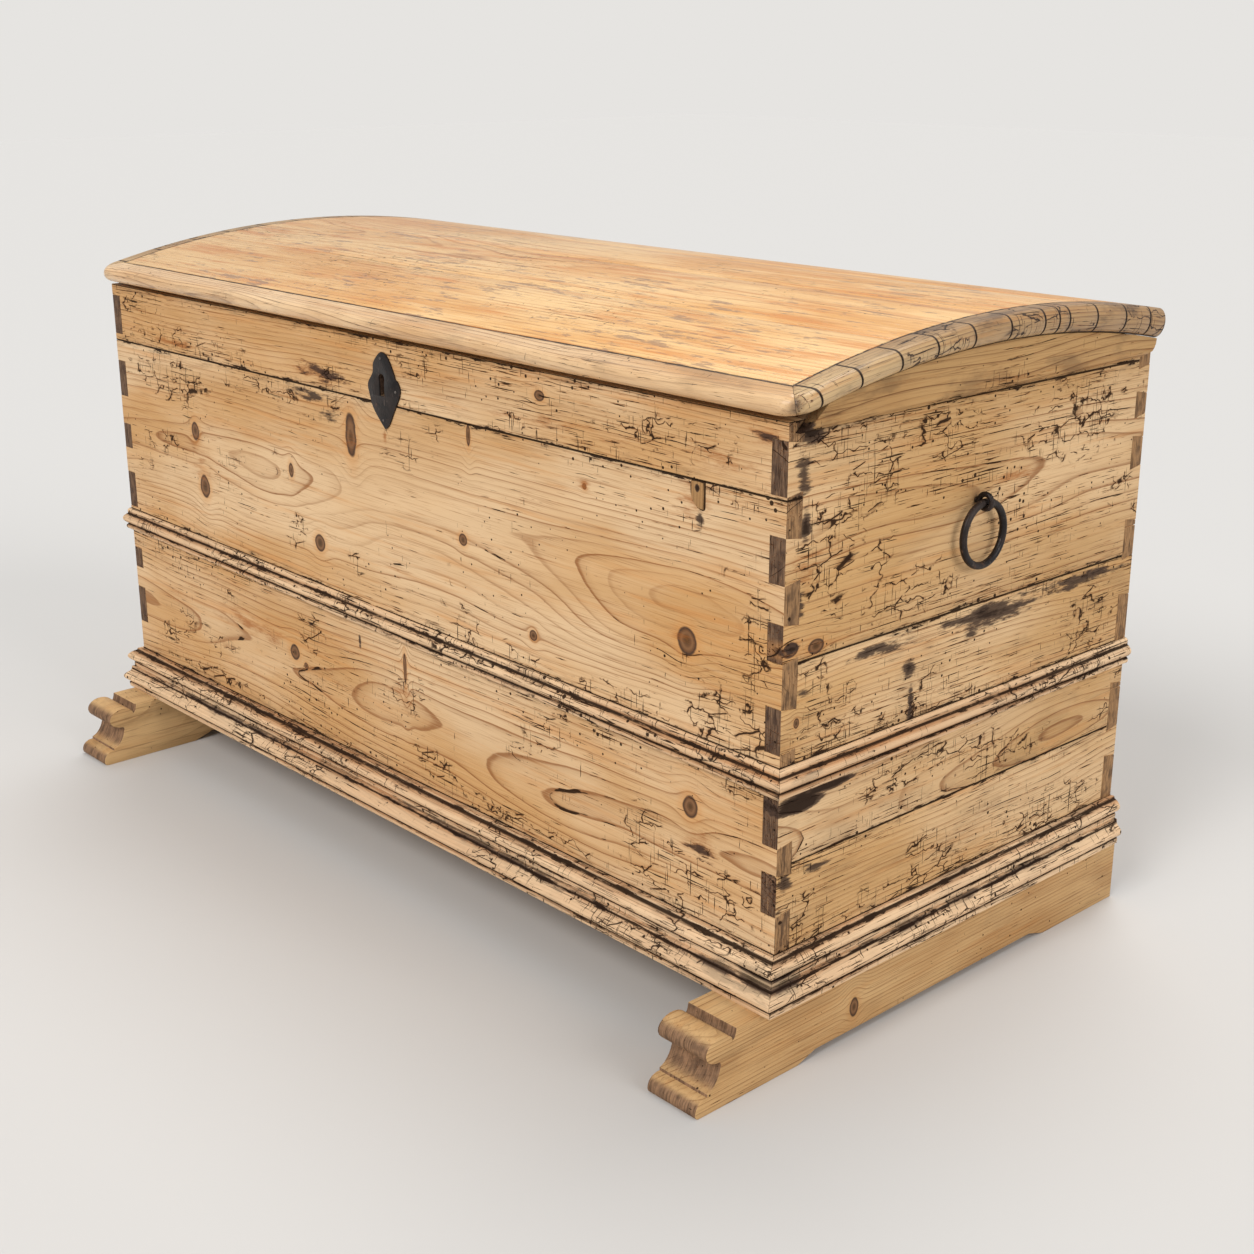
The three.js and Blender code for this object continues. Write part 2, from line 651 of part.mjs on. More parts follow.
const hingeY = halfDepth + STRAP_THICKNESS / 2 + KNUCKLE_RADIUS - FIT_GAP / 2;
const hingeZ = rim + HINGE_AXIS_RISE;
const hingeThird = HINGE_WIDTH / 3;
const outerThirds = [
  [-HINGE_WIDTH / 2, -hingeThird / 2 - KNUCKLE_GAP], [hingeThird / 2 + KNUCKLE_GAP, HINGE_WIDTH / 2],
];
const middleThird = [-hingeThird / 2, hingeThird / 2];
const hingeBore = () => (
  rodAlongX(HINGE_PIN_RADIUS + FIT_GAP, [-HINGE_WIDTH, HINGE_WIDTH], hingeY, hingeZ)
);
const knuckle = (xRange) => rodAlongX(KNUCKLE_RADIUS, xRange, hingeY, hingeZ);

function bodyStrap() {
  const point = hingeZ - BODY_STRAP_LENGTH;
  const half = HINGE_WIDTH / 2;
  const leaf = outline([
    [0, point], [half, point + STRAP_POINT], [half, hingeZ],
    [-half, hingeZ], [-half, point + STRAP_POINT],
  ]);
  const [left, right] = middleThird;
  const relief = block(
    [left - KNUCKLE_GAP, right + KNUCKLE_GAP], [halfDepth - CUT_OVERRUN, hingeY + KNUCKLE_RADIUS],
    [hingeZ - KNUCKLE_RADIUS - KNUCKLE_RELIEF, hingeZ + KNUCKLE_RADIUS + CUT_OVERRUN],
  );
  const strap = joined(
    prismAlongY(leaf, [halfDepth, halfDepth + STRAP_THICKNESS]), ...outerThirds.map(knuckle),
  );
  return cut(strap, relief, hingeBore());
}

function lidStrap() {
  const half = HINGE_WIDTH / 2;
  const outer = LID_RADIUS - LID_SEAT_GAP;
  const inner = outer - STRAP_THICKNESS;
  const point = hingeY - LID_STRAP_LENGTH;
  const angles = [point, hingeY].map((y) => angleAt(y, inner));
  const band = archBand(angles, [inner, () => outer], [-half, half]);
  const plan = outline([
    [0, point], [half, point + STRAP_POINT], [half, hingeY + CUT_OVERRUN],
    [-half, hingeY + CUT_OVERRUN], [-half, point + STRAP_POINT],
  ]);
  const leaf = band.intersect(solidFrom(extruded(plan, rim + LID_RADIUS)));
  const clear = hingeY - KNUCKLE_RADIUS - KNUCKLE_RELIEF;
  const reliefs = outerThirds.map(([left, right]) => block(
    [left - KNUCKLE_GAP, right + KNUCKLE_GAP], [clear, hingeY + KNUCKLE_RADIUS], [rim, rim + LID_RADIUS],
  ));
  return cut(joined(cut(leaf, ...reliefs), knuckle(middleThird)), hingeBore());
}

const hingePin = () => (
  rodAlongX(HINGE_PIN_RADIUS, [-HINGE_PIN_LENGTH / 2, HINGE_PIN_LENGTH / 2], hingeY, hingeZ)
);

// Escutcheon

function escutcheon() {
  const top = rim - ESCUTCHEON_DROP;
  const at = ([sideShare, heightShare]) => new THREE.Vector2(
    ESCUTCHEON_OFFSET + ESCUTCHEON_WIDTH / 2 * sideShare, top - ESCUTCHEON_HEIGHT * (1 - heightShare),
  );
  const tip = [0.03, 0];
  const lowerRightShares = [
    [0.28, 0.06], [0.7, 0.3], [0.98, 0.46], [1.04, 0.56], [0.93, 0.64], [0.76, 0.68],
  ];
  const upperRightShares = [[0.68, 0.75], [0.45, 0.89], [0.2, 0.98], [-0.05, 1]];
  const leftShares = [
    [-0.25, 0.96], [-0.56, 0.84], [-0.62, 0.71], [-0.93, 0.56], [-0.86, 0.42], [-0.62, 0.23],
  ];
  const shape = new THREE.Shape();
  shape.moveTo(...at(tip).toArray());
  shape.splineThru(lowerRightShares.map(at));
  shape.splineThru(upperRightShares.map(at));
  shape.splineThru([...leftShares, tip].map(at));
  const face = -halfDepth - ESCUTCHEON_THICKNESS;
  const plate = prismAlongY(shape, [face, -halfDepth]);
  return cut(plate, keyhole([face - CUT_OVERRUN, -halfDepth + CUT_OVERRUN]));
}

// Lock on the inside of the front wall, its bolt drawn back, and the staple under the lid

const lockX = [LOCK_OFFSET - LOCK_LENGTH / 2, LOCK_OFFSET + LOCK_LENGTH / 2];
const lockY = [-innerHalfDepth, LOCK_DEPTH - innerHalfDepth];
const lockZ = [rim - LOCK_DROP - LOCK_HEIGHT, rim - LOCK_DROP];
const stapleY = (lockY[0] + lockY[1] - LOCK_PLATE) / 2;
const boltTailTop = lockZ[1] - LOCK_PLATE - FIT_GAP;
const boltZ = boltTailTop - BOLT_TAIL_HEIGHT / 2;
const boltNoseX = LOCK_OFFSET + STAPLE_THICKNESS / 2 + STAPLE_CLEARANCE;
const boltTailX = [boltNoseX + BOLT_NOSE_LENGTH, lockX[1] - LOCK_PLATE - FIT_GAP];

const around = (centre, width) => [centre - width / 2, centre + width / 2];

function lockCase() {
  const shell = block(lockX, lockY, lockZ);
  const hollow = block(
    [lockX[0] + LOCK_PLATE, lockX[1] - LOCK_PLATE], [lockY[0] - CUT_OVERRUN, lockY[1] - LOCK_PLATE],
    [lockZ[0] + LOCK_PLATE, lockZ[1] - LOCK_PLATE],
  );
  const slot = block(
    around(LOCK_OFFSET, STAPLE_THICKNESS + 2 * STAPLE_CLEARANCE),
    around(stapleY, STAPLE_WIDTH + 2 * STAPLE_CLEARANCE),
    [lockZ[1] - LOCK_PLATE - CUT_OVERRUN, lockZ[1] + CUT_OVERRUN],
  );
  const railTop = boltTailTop - BOLT_TAIL_HEIGHT - FIT_GAP;
  const rail = block(
    [boltTailX[0] - BOLT_DRAW, lockX[1] - LOCK_PLATE / 2], [stapleY, lockY[1] - LOCK_PLATE / 2],
    [railTop - LOCK_PLATE, railTop],
  );
  return joined(cut(shell, hollow, slot), rail);
}

function lockBolt() {
  const tail = block(
    boltTailX, [lockY[0] + FIT_GAP, lockY[1] - LOCK_PLATE - FIT_GAP],
    [boltTailTop - BOLT_TAIL_HEIGHT, boltTailTop],
  );
  const nose = block(
    [boltNoseX, boltTailX[0] + CUT_OVERRUN], around(stapleY, BOLT_THICKNESS), around(boltZ, BOLT_HEIGHT),
  );
  return joined(tail, nose);
}

function lidStaple() {
  const outer = LID_RADIUS - LID_SEAT_GAP;
  const inner = outer - STAPLE_PLATE_THICKNESS;
  const plateY = around(stapleY, STAPLE_PLATE_DEPTH);
  const plate = archBand(
    plateY.map((y) => angleAt(y, inner)), [inner, () => outer], around(LOCK_OFFSET, STAPLE_PLATE_LENGTH),
  );
  const eyeHeight = BOLT_HEIGHT + 2 * STAPLE_CLEARANCE;
  const tip = boltZ - eyeHeight / 2 - STAPLE_TIP;
  const loop = block(
    around(LOCK_OFFSET, STAPLE_THICKNESS), around(stapleY, STAPLE_WIDTH), [tip, rim + LID_RADIUS],
  );
  const eye = block(
    around(LOCK_OFFSET, STAPLE_THICKNESS + CUT_OVERRUN),
    around(stapleY, STAPLE_WIDTH - 2 * STAPLE_SIDE_WALL), around(boltZ, eyeHeight),
  );
  const above = archBand(
    [lidFrontAngle, 0], [outer - STAPLE_PLATE_THICKNESS / 2, () => 2 * outer],
    around(LOCK_OFFSET, STAPLE_PLATE_LENGTH),
  );
  return joined(cut(loop, eye, above), plate);
}

// Ring handles, drawn for the right-hand end about the ring's pivot

const handleZ = rim - HANDLE_DROP;
const handleX = halfLength + RING_STANDOFF;

function ring() {
  const torus = new THREE.TorusGeometry(RING_RADIUS, RING_WIRE_RADIUS, ROUND_SIDES / 2, ROUND_SIDES * 2);
  return solidFrom(torus.rotateY(Math.PI / 2).translate(0, 0, -RING_RADIUS));
}

const eyeRise = EYE_HOLE_RADIUS - RING_WIRE_RADIUS - FIT_GAP;

function ringEye() {
  const major = EYE_HOLE_RADIUS + EYE_WIRE_RADIUS;
  const loop = new THREE.TorusGeometry(major, EYE_WIRE_RADIUS, ROUND_SIDES / 2, ROUND_SIDES);
  const inside = -RING_STANDOFF - END_THICKNESS - FIT_GAP;
  const shank = rodAlongX(SHANK_RADIUS, [inside - CLENCH_THICKNESS / 2, -major], 0, eyeRise);
  const clench = block(
    [inside - CLENCH_THICKNESS, inside], around(0, CLENCH_LENGTH), around(eyeRise, 2 * SHANK_RADIUS),
  );
  return joined(solidFrom(loop.rotateX(Math.PI / 2).translate(0, 0, eyeRise)), shank, clench);
}

const shankBore = () => rodAlongX(
  SHANK_RADIUS + FIT_GAP, [innerHalfLength - CUT_OVERRUN, halfLength + CUT_OVERRUN],
  HANDLE_SETBACK, handleZ + eyeRise,
);

// Assembly

const pine = (color, roughness = 0.55) => () => (
  new THREE.MeshStandardMaterial({ color, roughness, metalness: 0 })
);
const boardPine = pine('#c9a26b');
const lidPine = pine('#d9a257', 0.35);
const mouldingPine = pine('#cfa87e');
const footPine = pine('#d3ae78');
const insidePine = pine('#b98f5c', 0.7);
const iron = () => new THREE.MeshStandardMaterial({ color: '#2b2320', roughness: 0.5, metalness: 0.8 });

const chest = new THREE.Group();
chest.position.y = (FOOT_FRONT_REACH - FOOT_BACK_REACH) / 2;

function add(name, solid, material, place = [0, 0, 0]) {
  const mesh = new THREE.Mesh(geometryFrom(solid), material());
  mesh.name = name;
  mesh.position.set(...place);
  chest.add(mesh);
}

const addBoards = (names, solids, material) => names.forEach((name, i) => add(name, solids[i], material));

const frontWall = cut(longWall(-1), keyhole([-halfDepth - CUT_OVERRUN, CUT_OVERRUN - innerHalfDepth]));
const [frontLower, frontMiddle, frontTop] = boardsOf(frontWall, FRONT_JOINT_SHARES);
const plugPocket = frontPlug(PLUG_GAP, [-halfDepth - CUT_OVERRUN, plugBack]);
addBoards(
  ['front_lower_board', 'front_middle_board', 'front_top_board'],
  [frontLower, cut(frontMiddle, plugPocket), frontTop], boardPine,
);
add('front_plug', frontPlug(0, [-halfDepth - PLUG_RISE, plugBack]), boardPine);
addBoards(
  ['back_lower_board', 'back_middle_board', 'back_top_board'],
  boardsOf(longWall(1), BACK_JOINT_SHARES), boardPine,
);
addBoards(
  ['floor_board_front', 'floor_board_middle', 'floor_board_back'], floorBoards(), insidePine,
);

const waistHeights = [WAIST_LEFT_SHARE, WAIST_RIGHT_SHARE].map(wallHeightAt);
const plinthUpperBase = FOOT_HEIGHT + PLINTH_LOWER_HEIGHT;
const ends = [
  { side: -1, where: 'left', facing: mirrored, waistBase: waistHeights[0], cornerX: panelLeft },
  { side: 1, where: 'right', facing: (solid) => solid, waistBase: waistHeights[1], cornerX: panelRight },
];

for (const { side, where, facing, waistBase, cornerX } of ends) {
  const faces = [side * innerHalfLength, side * halfLength].sort((a, b) => a - b);
  const wall = cut(prismAlongX(endWall(where), faces), facing(shankBore()));
  addBoards(
    [`${where}_lower_board`, `${where}_middle_board`, `${where}_upper_board`],
    boardsOf(wall, END_JOINT_SHARES), boardPine,
  );
  const runs = [
    ['waist_moulding', waistProfile, waistBase, 1],
    ['plinth_upper', plinthUpperProfile, plinthUpperBase, PLINTH_FRONT_SHARE],
    ['plinth_lower', plinthLowerProfile, FOOT_HEIGHT, PLINTH_FRONT_SHARE],
  ];
  for (const [name, points, base, frontShare] of runs) {
    add(`${name}_${where}`, endMoulding(points, side, base, frontShare), mouldingPine);
  }
  add(`foot_${where}`, foot(side), footPine);
  add(`lid_moulding_${where}`, lidEndMoulding(cornerX, side), mouldingPine);
  add(`lid_cleat_${where}`, facing(lidCleat()), lidPine);
  const pivot = [side * handleX, HANDLE_SETBACK, handleZ];
  add(`ring_eye_${where}`, facing(ringEye()), iron, pivot);
  add(`ring_${where}`, facing(ring()), iron, pivot);
  const hingePlace = [side * HINGE_SPREAD / 2, 0, 0];
  add(`hinge_body_strap_${where}`, bodyStrap(), iron, hingePlace);
  add(`hinge_lid_strap_${where}`, lidStrap(), iron, hingePlace);
  add(`hinge_pin_${where}`, hingePin(), iron, hingePlace);
}

const frontRuns = [
  ['waist_moulding_front', waistProfile, waistHeights, 1],
  ['plinth_upper_front', plinthUpperProfile, [plinthUpperBase, plinthUpperBase], PLINTH_FRONT_SHARE],
  ['plinth_lower_front', plinthLowerProfile, [FOOT_HEIGHT, FOOT_HEIGHT], PLINTH_FRONT_SHARE],
];
for (const [name, points, heights, frontShare] of frontRuns) {
  add(name, frontMoulding(points, heights, frontShare), mouldingPine);
}

addBoards(
  ['lid_board_front', 'lid_board_front_middle', 'lid_board_back_middle', 'lid_board_back'],
  lidBoards(), lidPine,
);
add('lid_moulding_front', lidFrontMoulding(), mouldingPine);

add('escutcheon', escutcheon(), iron);
add('lock_case', lockCase(), iron);
add('lock_bolt', lockBolt(), iron);
add('lid_staple', lidStaple(), iron);

const tillEnds = [FIT_GAP - tillReach, tillReach - FIT_GAP];
add('till_front', block(tillFront, tillEnds, [tillBottom, tillTop]), insidePine);
add('till_bottom', block(
  [FIT_GAP - innerHalfLength, tillFront[0] - FIT_GAP], tillEnds, [tillBottom, tillBottom + TILL_BOARD],
), insidePine);

const root = new THREE.Group();
root.add(chest);

export default root;
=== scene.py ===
# Looks of a blanket chest in old stripped pine, with iron fittings. Metres, +Z up, front facing -Y.

import json
import math

import bpy
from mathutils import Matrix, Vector

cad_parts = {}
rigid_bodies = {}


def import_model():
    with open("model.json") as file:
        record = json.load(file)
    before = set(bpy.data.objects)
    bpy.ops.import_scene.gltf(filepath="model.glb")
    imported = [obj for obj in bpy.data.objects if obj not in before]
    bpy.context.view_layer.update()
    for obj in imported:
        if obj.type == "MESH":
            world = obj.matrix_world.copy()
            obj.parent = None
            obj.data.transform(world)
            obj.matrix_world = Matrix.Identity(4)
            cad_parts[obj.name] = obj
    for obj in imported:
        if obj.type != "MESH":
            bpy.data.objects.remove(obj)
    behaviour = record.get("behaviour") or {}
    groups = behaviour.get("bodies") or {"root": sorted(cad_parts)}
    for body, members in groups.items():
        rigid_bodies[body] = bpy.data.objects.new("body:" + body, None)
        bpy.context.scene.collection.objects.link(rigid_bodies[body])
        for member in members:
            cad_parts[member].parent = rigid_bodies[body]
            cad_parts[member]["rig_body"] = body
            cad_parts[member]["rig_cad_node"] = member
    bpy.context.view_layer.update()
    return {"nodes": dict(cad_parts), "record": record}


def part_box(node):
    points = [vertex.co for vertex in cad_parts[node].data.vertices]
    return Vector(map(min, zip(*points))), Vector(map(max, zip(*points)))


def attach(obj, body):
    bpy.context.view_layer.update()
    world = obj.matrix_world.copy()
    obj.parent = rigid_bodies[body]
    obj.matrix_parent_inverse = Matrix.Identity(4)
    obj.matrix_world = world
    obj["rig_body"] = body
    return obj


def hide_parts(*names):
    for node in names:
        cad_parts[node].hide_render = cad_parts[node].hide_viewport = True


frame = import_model()

# Camera of the photograph, and the studio
FLOOR_SIZE = 30
DAYLIGHT = 0.5
CHEST_MIDDLE = (0, 0, 0.4)
LENS = 51.72
SENSOR = 36
CAMERA_PLACE = (1.60871, -1.34217, 0.94478)
CAMERA_TILT = math.radians(71.76)
CAMERA_TURN = math.radians(47.5)

# How far edges are rounded, and what is merged or smoothed on the way
BOARD_EDGE = 0.0009
MOULDING_EDGE = 0.0004
IRON_EDGE = 0.0004
THICK_EDGE = 0.0010
LID_BOARD_EDGE = 0.0002
EDGE_SEGMENTS = 2
FLAT_ANGLE = math.radians(0.3)
SMOOTH_ANGLE = math.radians(32)
MERGE_GAP = 0.00002

# Rings and their eyes, and the nails of the escutcheon: along the front and height
RING_LEVELS = 2
RING_SWELL = 0.0003
NAIL_RADIUS = 0.0017
NAIL_RISE_SHARE = 0.45
NAIL_SEGMENTS, NAIL_RINGS = 12, 8
NAIL_PLACES = ((0.0065, 0.6127), (0.008, 0.5454), (0.0325, 0.5796))

# The dark dot on the plug
PLUG_DOT_DROP = 0.007
PLUG_DOT_RADIUS = 0.004

# How far behind the face of a board the heart of its tree lies
BEHIND_FRONT = 0.065
BEHIND_END = 0.05
BEHIND_MOULDING = 0.3

# How far the growth rings wander across and into a board, and how far they wobble
WANDER_ACROSS = 0.035
WANDER_INTO = 0.11
WOBBLE = 0.0022

# How strongly dirt and wear crowd each kind of mark, and how far from a seam they do so
CRACK_CROWDING = 0.34
TICK_CROWDING = 0.30
HOLE_CROWDING = 0.45
SEAM_CROWDING = 0.12
SEAM_REACH = 0.024
CLEAR_OF_SEAM = 0.02

# Worm holes and crackle, in cells for each metre
HOLE_CELLS = 80.0
CRACKLE_ALONG, CRACKLE_ACROSS, CRACKLE_INTO = 21.0, 62.0, 30.0

# Spots fade at this share of their size
SPOT_REACH = 1.15

# How deep the bump of each finish is
WOOD_RELIEF = 0.0007
GRIME_RELIEF = 0.0003
IRON_RELIEF = 0.0006

# How a knot turns the grain: its reach in knot sizes, and how far the rings part round it
KNOT_REACH = 2.6
KNOT_PARTING = 0.85

# Quirks of the mouldings, where dirt and painted shade lie in the hollows: above the waist's base, and above
# the floor
WAIST_QUIRKS = (0.0067, 0.0207)
PLINTH_QUIRKS = (0.0833, 0.1020, 0.1120, 0.1284)

# The lid's arch, and the saw cuts in its end mouldings as shares of the way round it
ARCH_Y, ARCH_Z, ARCH_RADIUS = 0.056, -0.58858, 1.262
LID_FRONT_THICKNESS, LID_BACK_THICKNESS = 0.0185, 0.030
KERF_SHARES = (0.004, 0.102, 0.204, 0.299, 0.4, 0.502, 0.601, 0.645, 0.677, 0.766, 0.861, 0.946)
KERF_WIDTH = 0.0012

FRONT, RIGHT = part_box("front_middle_board")[0].y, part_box("right_middle_board")[1].x
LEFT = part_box("left_middle_board")[0].x
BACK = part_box("back_middle_board")[1].y
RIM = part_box("front_top_board")[1].z

# Knots on the boards: along the grain, height, half length and half height
FRONT_MIDDLE_KNOTS = (
    (-0.409, 0.469, 0.008, 0.011), (-0.394, 0.400, 0.009, 0.013), (-0.059, 0.516, 0.010, 0.021),
    (-0.188, 0.456, 0.005, 0.009), (-0.134, 0.378, 0.008, 0.009), (0.142, 0.438, 0.006, 0.006),
    (0.156, 0.552, 0.003, 0.010), (0.480, 0.411, 0.011, 0.013), (0.256, 0.360, 0.005, 0.005),
    (0.337, 0.531, 0.003, 0.003),
)
FRONT_LOWER_KNOTS = (
    (0.487, 0.245, 0.009, 0.011), (-0.204, 0.225, 0.009, 0.009), (-0.180, 0.213, 0.004, 0.004),
    (0.027, 0.262, 0.003, 0.016),
)
FRONT_TOP_KNOTS = ((0.271, 0.610, 0.007, 0.005),)
RIGHT_UPPER_KNOTS = ((-0.189, 0.425, 0.009, 0.006), (-0.223, 0.429, 0.009, 0.006))
RIGHT_MIDDLE_KNOTS = ((-0.212, 0.357, 0.003, 0.004),)
FOOT_KNOTS = ((-0.116, 0.033, 0.006, 0.010),)

# Dark stains and rusty smears, some of the stains painted shade: along the grain, height, half length, half
# height and strength
FRONT_TOP_STAINS = (
    (-0.10, 0.582, 0.075, 0.014, 0.8), (0.575, 0.618, 0.020, 0.010, 0.8), (0.0074, 0.583, 0.008, 0.022, 2.0),
)
FRONT_TOP_RUSTS = (
    (-0.44, 0.575, 0.13, 0.008, 0.9), (-0.12, 0.58, 0.10, 0.015, 0.8), (0.575, 0.618, 0.025, 0.014, 1.0),
    (0.30, 0.585, 0.20, 0.010, 0.6), (0.52, 0.59, 0.06, 0.02, 0.6),
)
FRONT_MIDDLE_STAINS = (
    (-0.13, 0.552, 0.07, 0.010, 0.9), (-0.10, 0.535, 0.03, 0.012, 0.6), (0.495, 0.531, 0.008, 0.012, 1.1),
)
FRONT_MIDDLE_RUSTS = (
    (0.007, 0.527, 0.006, 0.012, 1.0), (0.485, 0.545, 0.030, 0.028, 0.9), (-0.059, 0.516, 0.030, 0.034, 0.5),
    (0.337, 0.531, 0.014, 0.012, 0.9), (0.480, 0.411, 0.045, 0.030, 0.35), (-0.40, 0.43, 0.04, 0.06, 0.5),
)
FRONT_LOWER_STAINS = (
    (-0.061, 0.276, 0.004, 0.020, 1.0), (0.501, 0.204, 0.022, 0.018, 0.8),
    (-0.165, 0.268, 0.010, 0.014, 0.6),
)
FRONT_LOWER_RUSTS = (
    (-0.30, 0.235, 0.11, 0.022, 0.8), (0.501, 0.208, 0.030, 0.022, 0.9), (0.02, 0.235, 0.03, 0.03, 0.6),
)
RIGHT_UPPER_STAINS = (
    (-0.205, 0.620, 0.030, 0.014, 1.5), (-0.208, 0.540, 0.010, 0.020, 1.5),
    (-0.212, 0.585, 0.014, 0.03, 1.0),
    (-0.222, 0.429, 0.012, 0.008, 1.4), (-0.15, 0.50, 0.015, 0.012, 0.6), (-0.214, 0.47, 0.010, 0.02, 0.9),
)
RIGHT_UPPER_RUSTS = ((0.10, 0.535, 0.06, 0.012, 0.8), (-0.20, 0.50, 0.03, 0.03, 0.6))
RIGHT_MIDDLE_STAINS = (
    (0.07, 0.400, 0.11, 0.016, 1.3), (-0.055, 0.372, 0.014, 0.016, 1.2), (0.04, 0.385, 0.020, 0.010, 1.0),
    (-0.050, 0.332, 0.006, 0.030, 1.3), (-0.10, 0.402, 0.07, 0.011, 1.0), (-0.205, 0.38, 0.015, 0.025, 0.6),
    (0.22, 0.404, 0.10, 0.011, 1.1), (-0.205, 0.277, 0.036, 0.012, 3.0), (-0.165, 0.283, 0.045, 0.005, 2.6),
)
RIGHT_LOWER_STAINS = (
    (-0.222, 0.205, 0.014, 0.020, 1.2), (-0.228, 0.16, 0.010, 0.025, 1.0), (-0.18, 0.205, 0.03, 0.008, 0.9),
)
# The long thin bands at the height of the plinth's cove are painted shade; the others are stains
FRONT_MOULDING_STAINS_AND_COVE_SHADE = (
    (0.590, 0.108, 0.035, 0.022, 1.5), (0.54, 0.102, 0.06, 0.010, 1.3), (0.20, 0.103, 0.30, 0.006, 1.1),
    (-0.35, 0.103, 0.26, 0.006, 1.1), (0.606, 0.292, 0.012, 0.016, 1.0),
)
# The long thin band at the height of the plinth's cove is painted shade; the others are stains
END_MOULDING_STAINS_AND_COVE_SHADE = (
    (-0.230, 0.108, 0.030, 0.022, 1.4), (-0.20, 0.305, 0.03, 0.008, 1.0), (0.05, 0.103, 0.25, 0.006, 1.1),
)
# A painted shadow on the cleat's front tip
CLEAT_TIP_SHADOW = ((-0.225, 0.628, 0.014, 0.012, 2.0),)

# Patches with cracks that run every way, and paler patches, given in the same way
FRONT_TOP_SCORES = (
    (-0.45, 0.580, 0.12, 0.014, 0.7), (0.45, 0.60, 0.10, 0.02, 0.7), (0.04, 0.56, 0.03, 0.01, 1.0),
)
FRONT_MIDDLE_SCORES = (
    (-0.47, 0.528, 0.10, 0.030, 1.0), (0.535, 0.345, 0.06, 0.035, 1.0), (-0.25, 0.545, 0.10, 0.012, 0.8),
    (0.57, 0.43, 0.02, 0.06, 0.8), (0.40, 0.33, 0.10, 0.015, 0.7),
)
FRONT_LOWER_SCORES = (
    (-0.165, 0.262, 0.03, 0.03, 1.0), (0.03, 0.235, 0.04, 0.03, 0.8), (0.50, 0.165, 0.09, 0.035, 1.1),
    (0.25, 0.145, 0.15, 0.012, 0.8), (-0.40, 0.145, 0.18, 0.010, 0.6),
)
RIGHT_UPPER_SCORES = (
    (-0.012, 0.596, 0.05, 0.03, 1.2), (-0.111, 0.573, 0.05, 0.04, 1.1), (-0.167, 0.609, 0.06, 0.02, 1.2),
    (-0.180, 0.515, 0.045, 0.05, 1.2), (0.20, 0.58, 0.08, 0.05, 0.9), (-0.06, 0.45, 0.08, 0.03, 0.8),
)
RIGHT_MIDDLE_SCORES = (
    (-0.17, 0.345, 0.05, 0.04, 1.1), (-0.02, 0.325, 0.08, 0.015, 1.0), (0.24, 0.36, 0.06, 0.05, 0.8),
    (-0.07, 0.26, 0.06, 0.02, 0.7), (0.12, 0.24, 0.08, 0.02, 0.7),
)
RIGHT_LOWER_SCORES = (
    (-0.05, 0.137, 0.10, 0.025, 1.0), (0.20, 0.15, 0.10, 0.03, 0.9), (-0.20, 0.15, 0.04, 0.04, 1.1),
)
FRONT_MIDDLE_WASHES = ((0.08, 0.46, 0.34, 0.10, 1.0),)


def tone(red, green, blue):
    """A colour as it looks on a screen, 0 to 255 a channel."""
    def linear(level):
        share = level / 255
        return share / 12.92 if share <= 0.04045 else ((share + 0.055) / 1.055) ** 2.4
    return linear(red), linear(green), linear(blue), 1


class Field:
    """A value that varies over a surface. Arithmetic on it adds Math nodes."""

    def __init__(self, finish, socket):
        self.finish = finish
        self.socket = socket

    def math(self, operation, *others):
        return self.finish.math(operation, self, *others)

    def __add__(self, other):
        return self.math("ADD", other)

    def __sub__(self, other):
        return self.math("SUBTRACT", other)

    def __rsub__(self, other):
        return self.finish.math("SUBTRACT", other, self)

    def __mul__(self, other):
        return self.math("MULTIPLY", other)

    def __truediv__(self, other):
        return self.math("DIVIDE", other)

    def __or__(self, other):
        """The greater of the two."""
        return self.math("MAXIMUM", other)

    def distance(self, other):
        return (self - other).math("ABSOLUTE")

    def between(self, low, high):
        """A soft step from 0 at low to 1 at high, which may be the smaller."""
        return self.finish.field(
            "MapRange", {"interpolation_type": "SMOOTHSTEP"}, {0: self, 1: low, 2: high},
        )


class Finish:
    """One material, built from fields."""

    def __init__(self, name):
        self.material = bpy.data.materials.new(name)
        self.material.use_nodes = True
        self.tree = self.material.node_tree
        self.tree.nodes.clear()
        self.place = self.field("TexCoord", output="Object")

    def node(self, kind, settings=None, sockets=None):
        made = self.tree.nodes.new("ShaderNode" + kind)
        for setting, value in (settings or {}).items():
            setattr(made, setting, value)
        for socket, value in (sockets or {}).items():
            if isinstance(value, Field):
                self.tree.links.new(value.socket, made.inputs[socket])
            else:
                made.inputs[socket].default_value = value
        return made

    def field(self, kind, settings=None, sockets=None, output=0):
        return Field(self, self.node(kind, settings, sockets).outputs[output])

    def math(self, operation, *terms):
        return self.field("Math", {"operation": operation}, dict(enumerate(terms)))

    def parts(self, vector):
        return [Field(self, output) for output in self.node("SeparateXYZ", None, {0: vector}).outputs]

    def point(self, x, y, z):
        return self.field("CombineXYZ", None, {0: x, 1: y, 2: z})

    def noise(self, where, detail=2.0, roughness=0.5):
        return self.field(
            "TexNoise", None, {"Vector": where, "Scale": 1.0, "Detail": detail, "Roughness": roughness},
        )

    def cells(self, where, feature="F1"):
        return self.field("TexVoronoi", {"feature": feature}, {"Vector": where, "Scale": 1.0})

    def blend(self, mask, under, over):
        return self.field("Mix", {"data_type": "RGBA"}, {0: mask, 6: under, 7: over}, output=2)

    def close(self, colour, roughness, height, depth, constants):
        """Ends the material. The bump is as deep as the depth where the height goes from 0 to 1, and the
        constants are sockets of the shader that don't vary."""
        bump = self.field("Bump", None, {"Strength": 1.0, "Distance": depth, "Height": height})
        sockets = {"Base Color": colour, "Roughness": roughness, "Normal": bump, **constants}
        shader = self.field("BsdfPrincipled", None, sockets)
        self.node("OutputMaterial", None, {"Surface": shader})
        return self.material


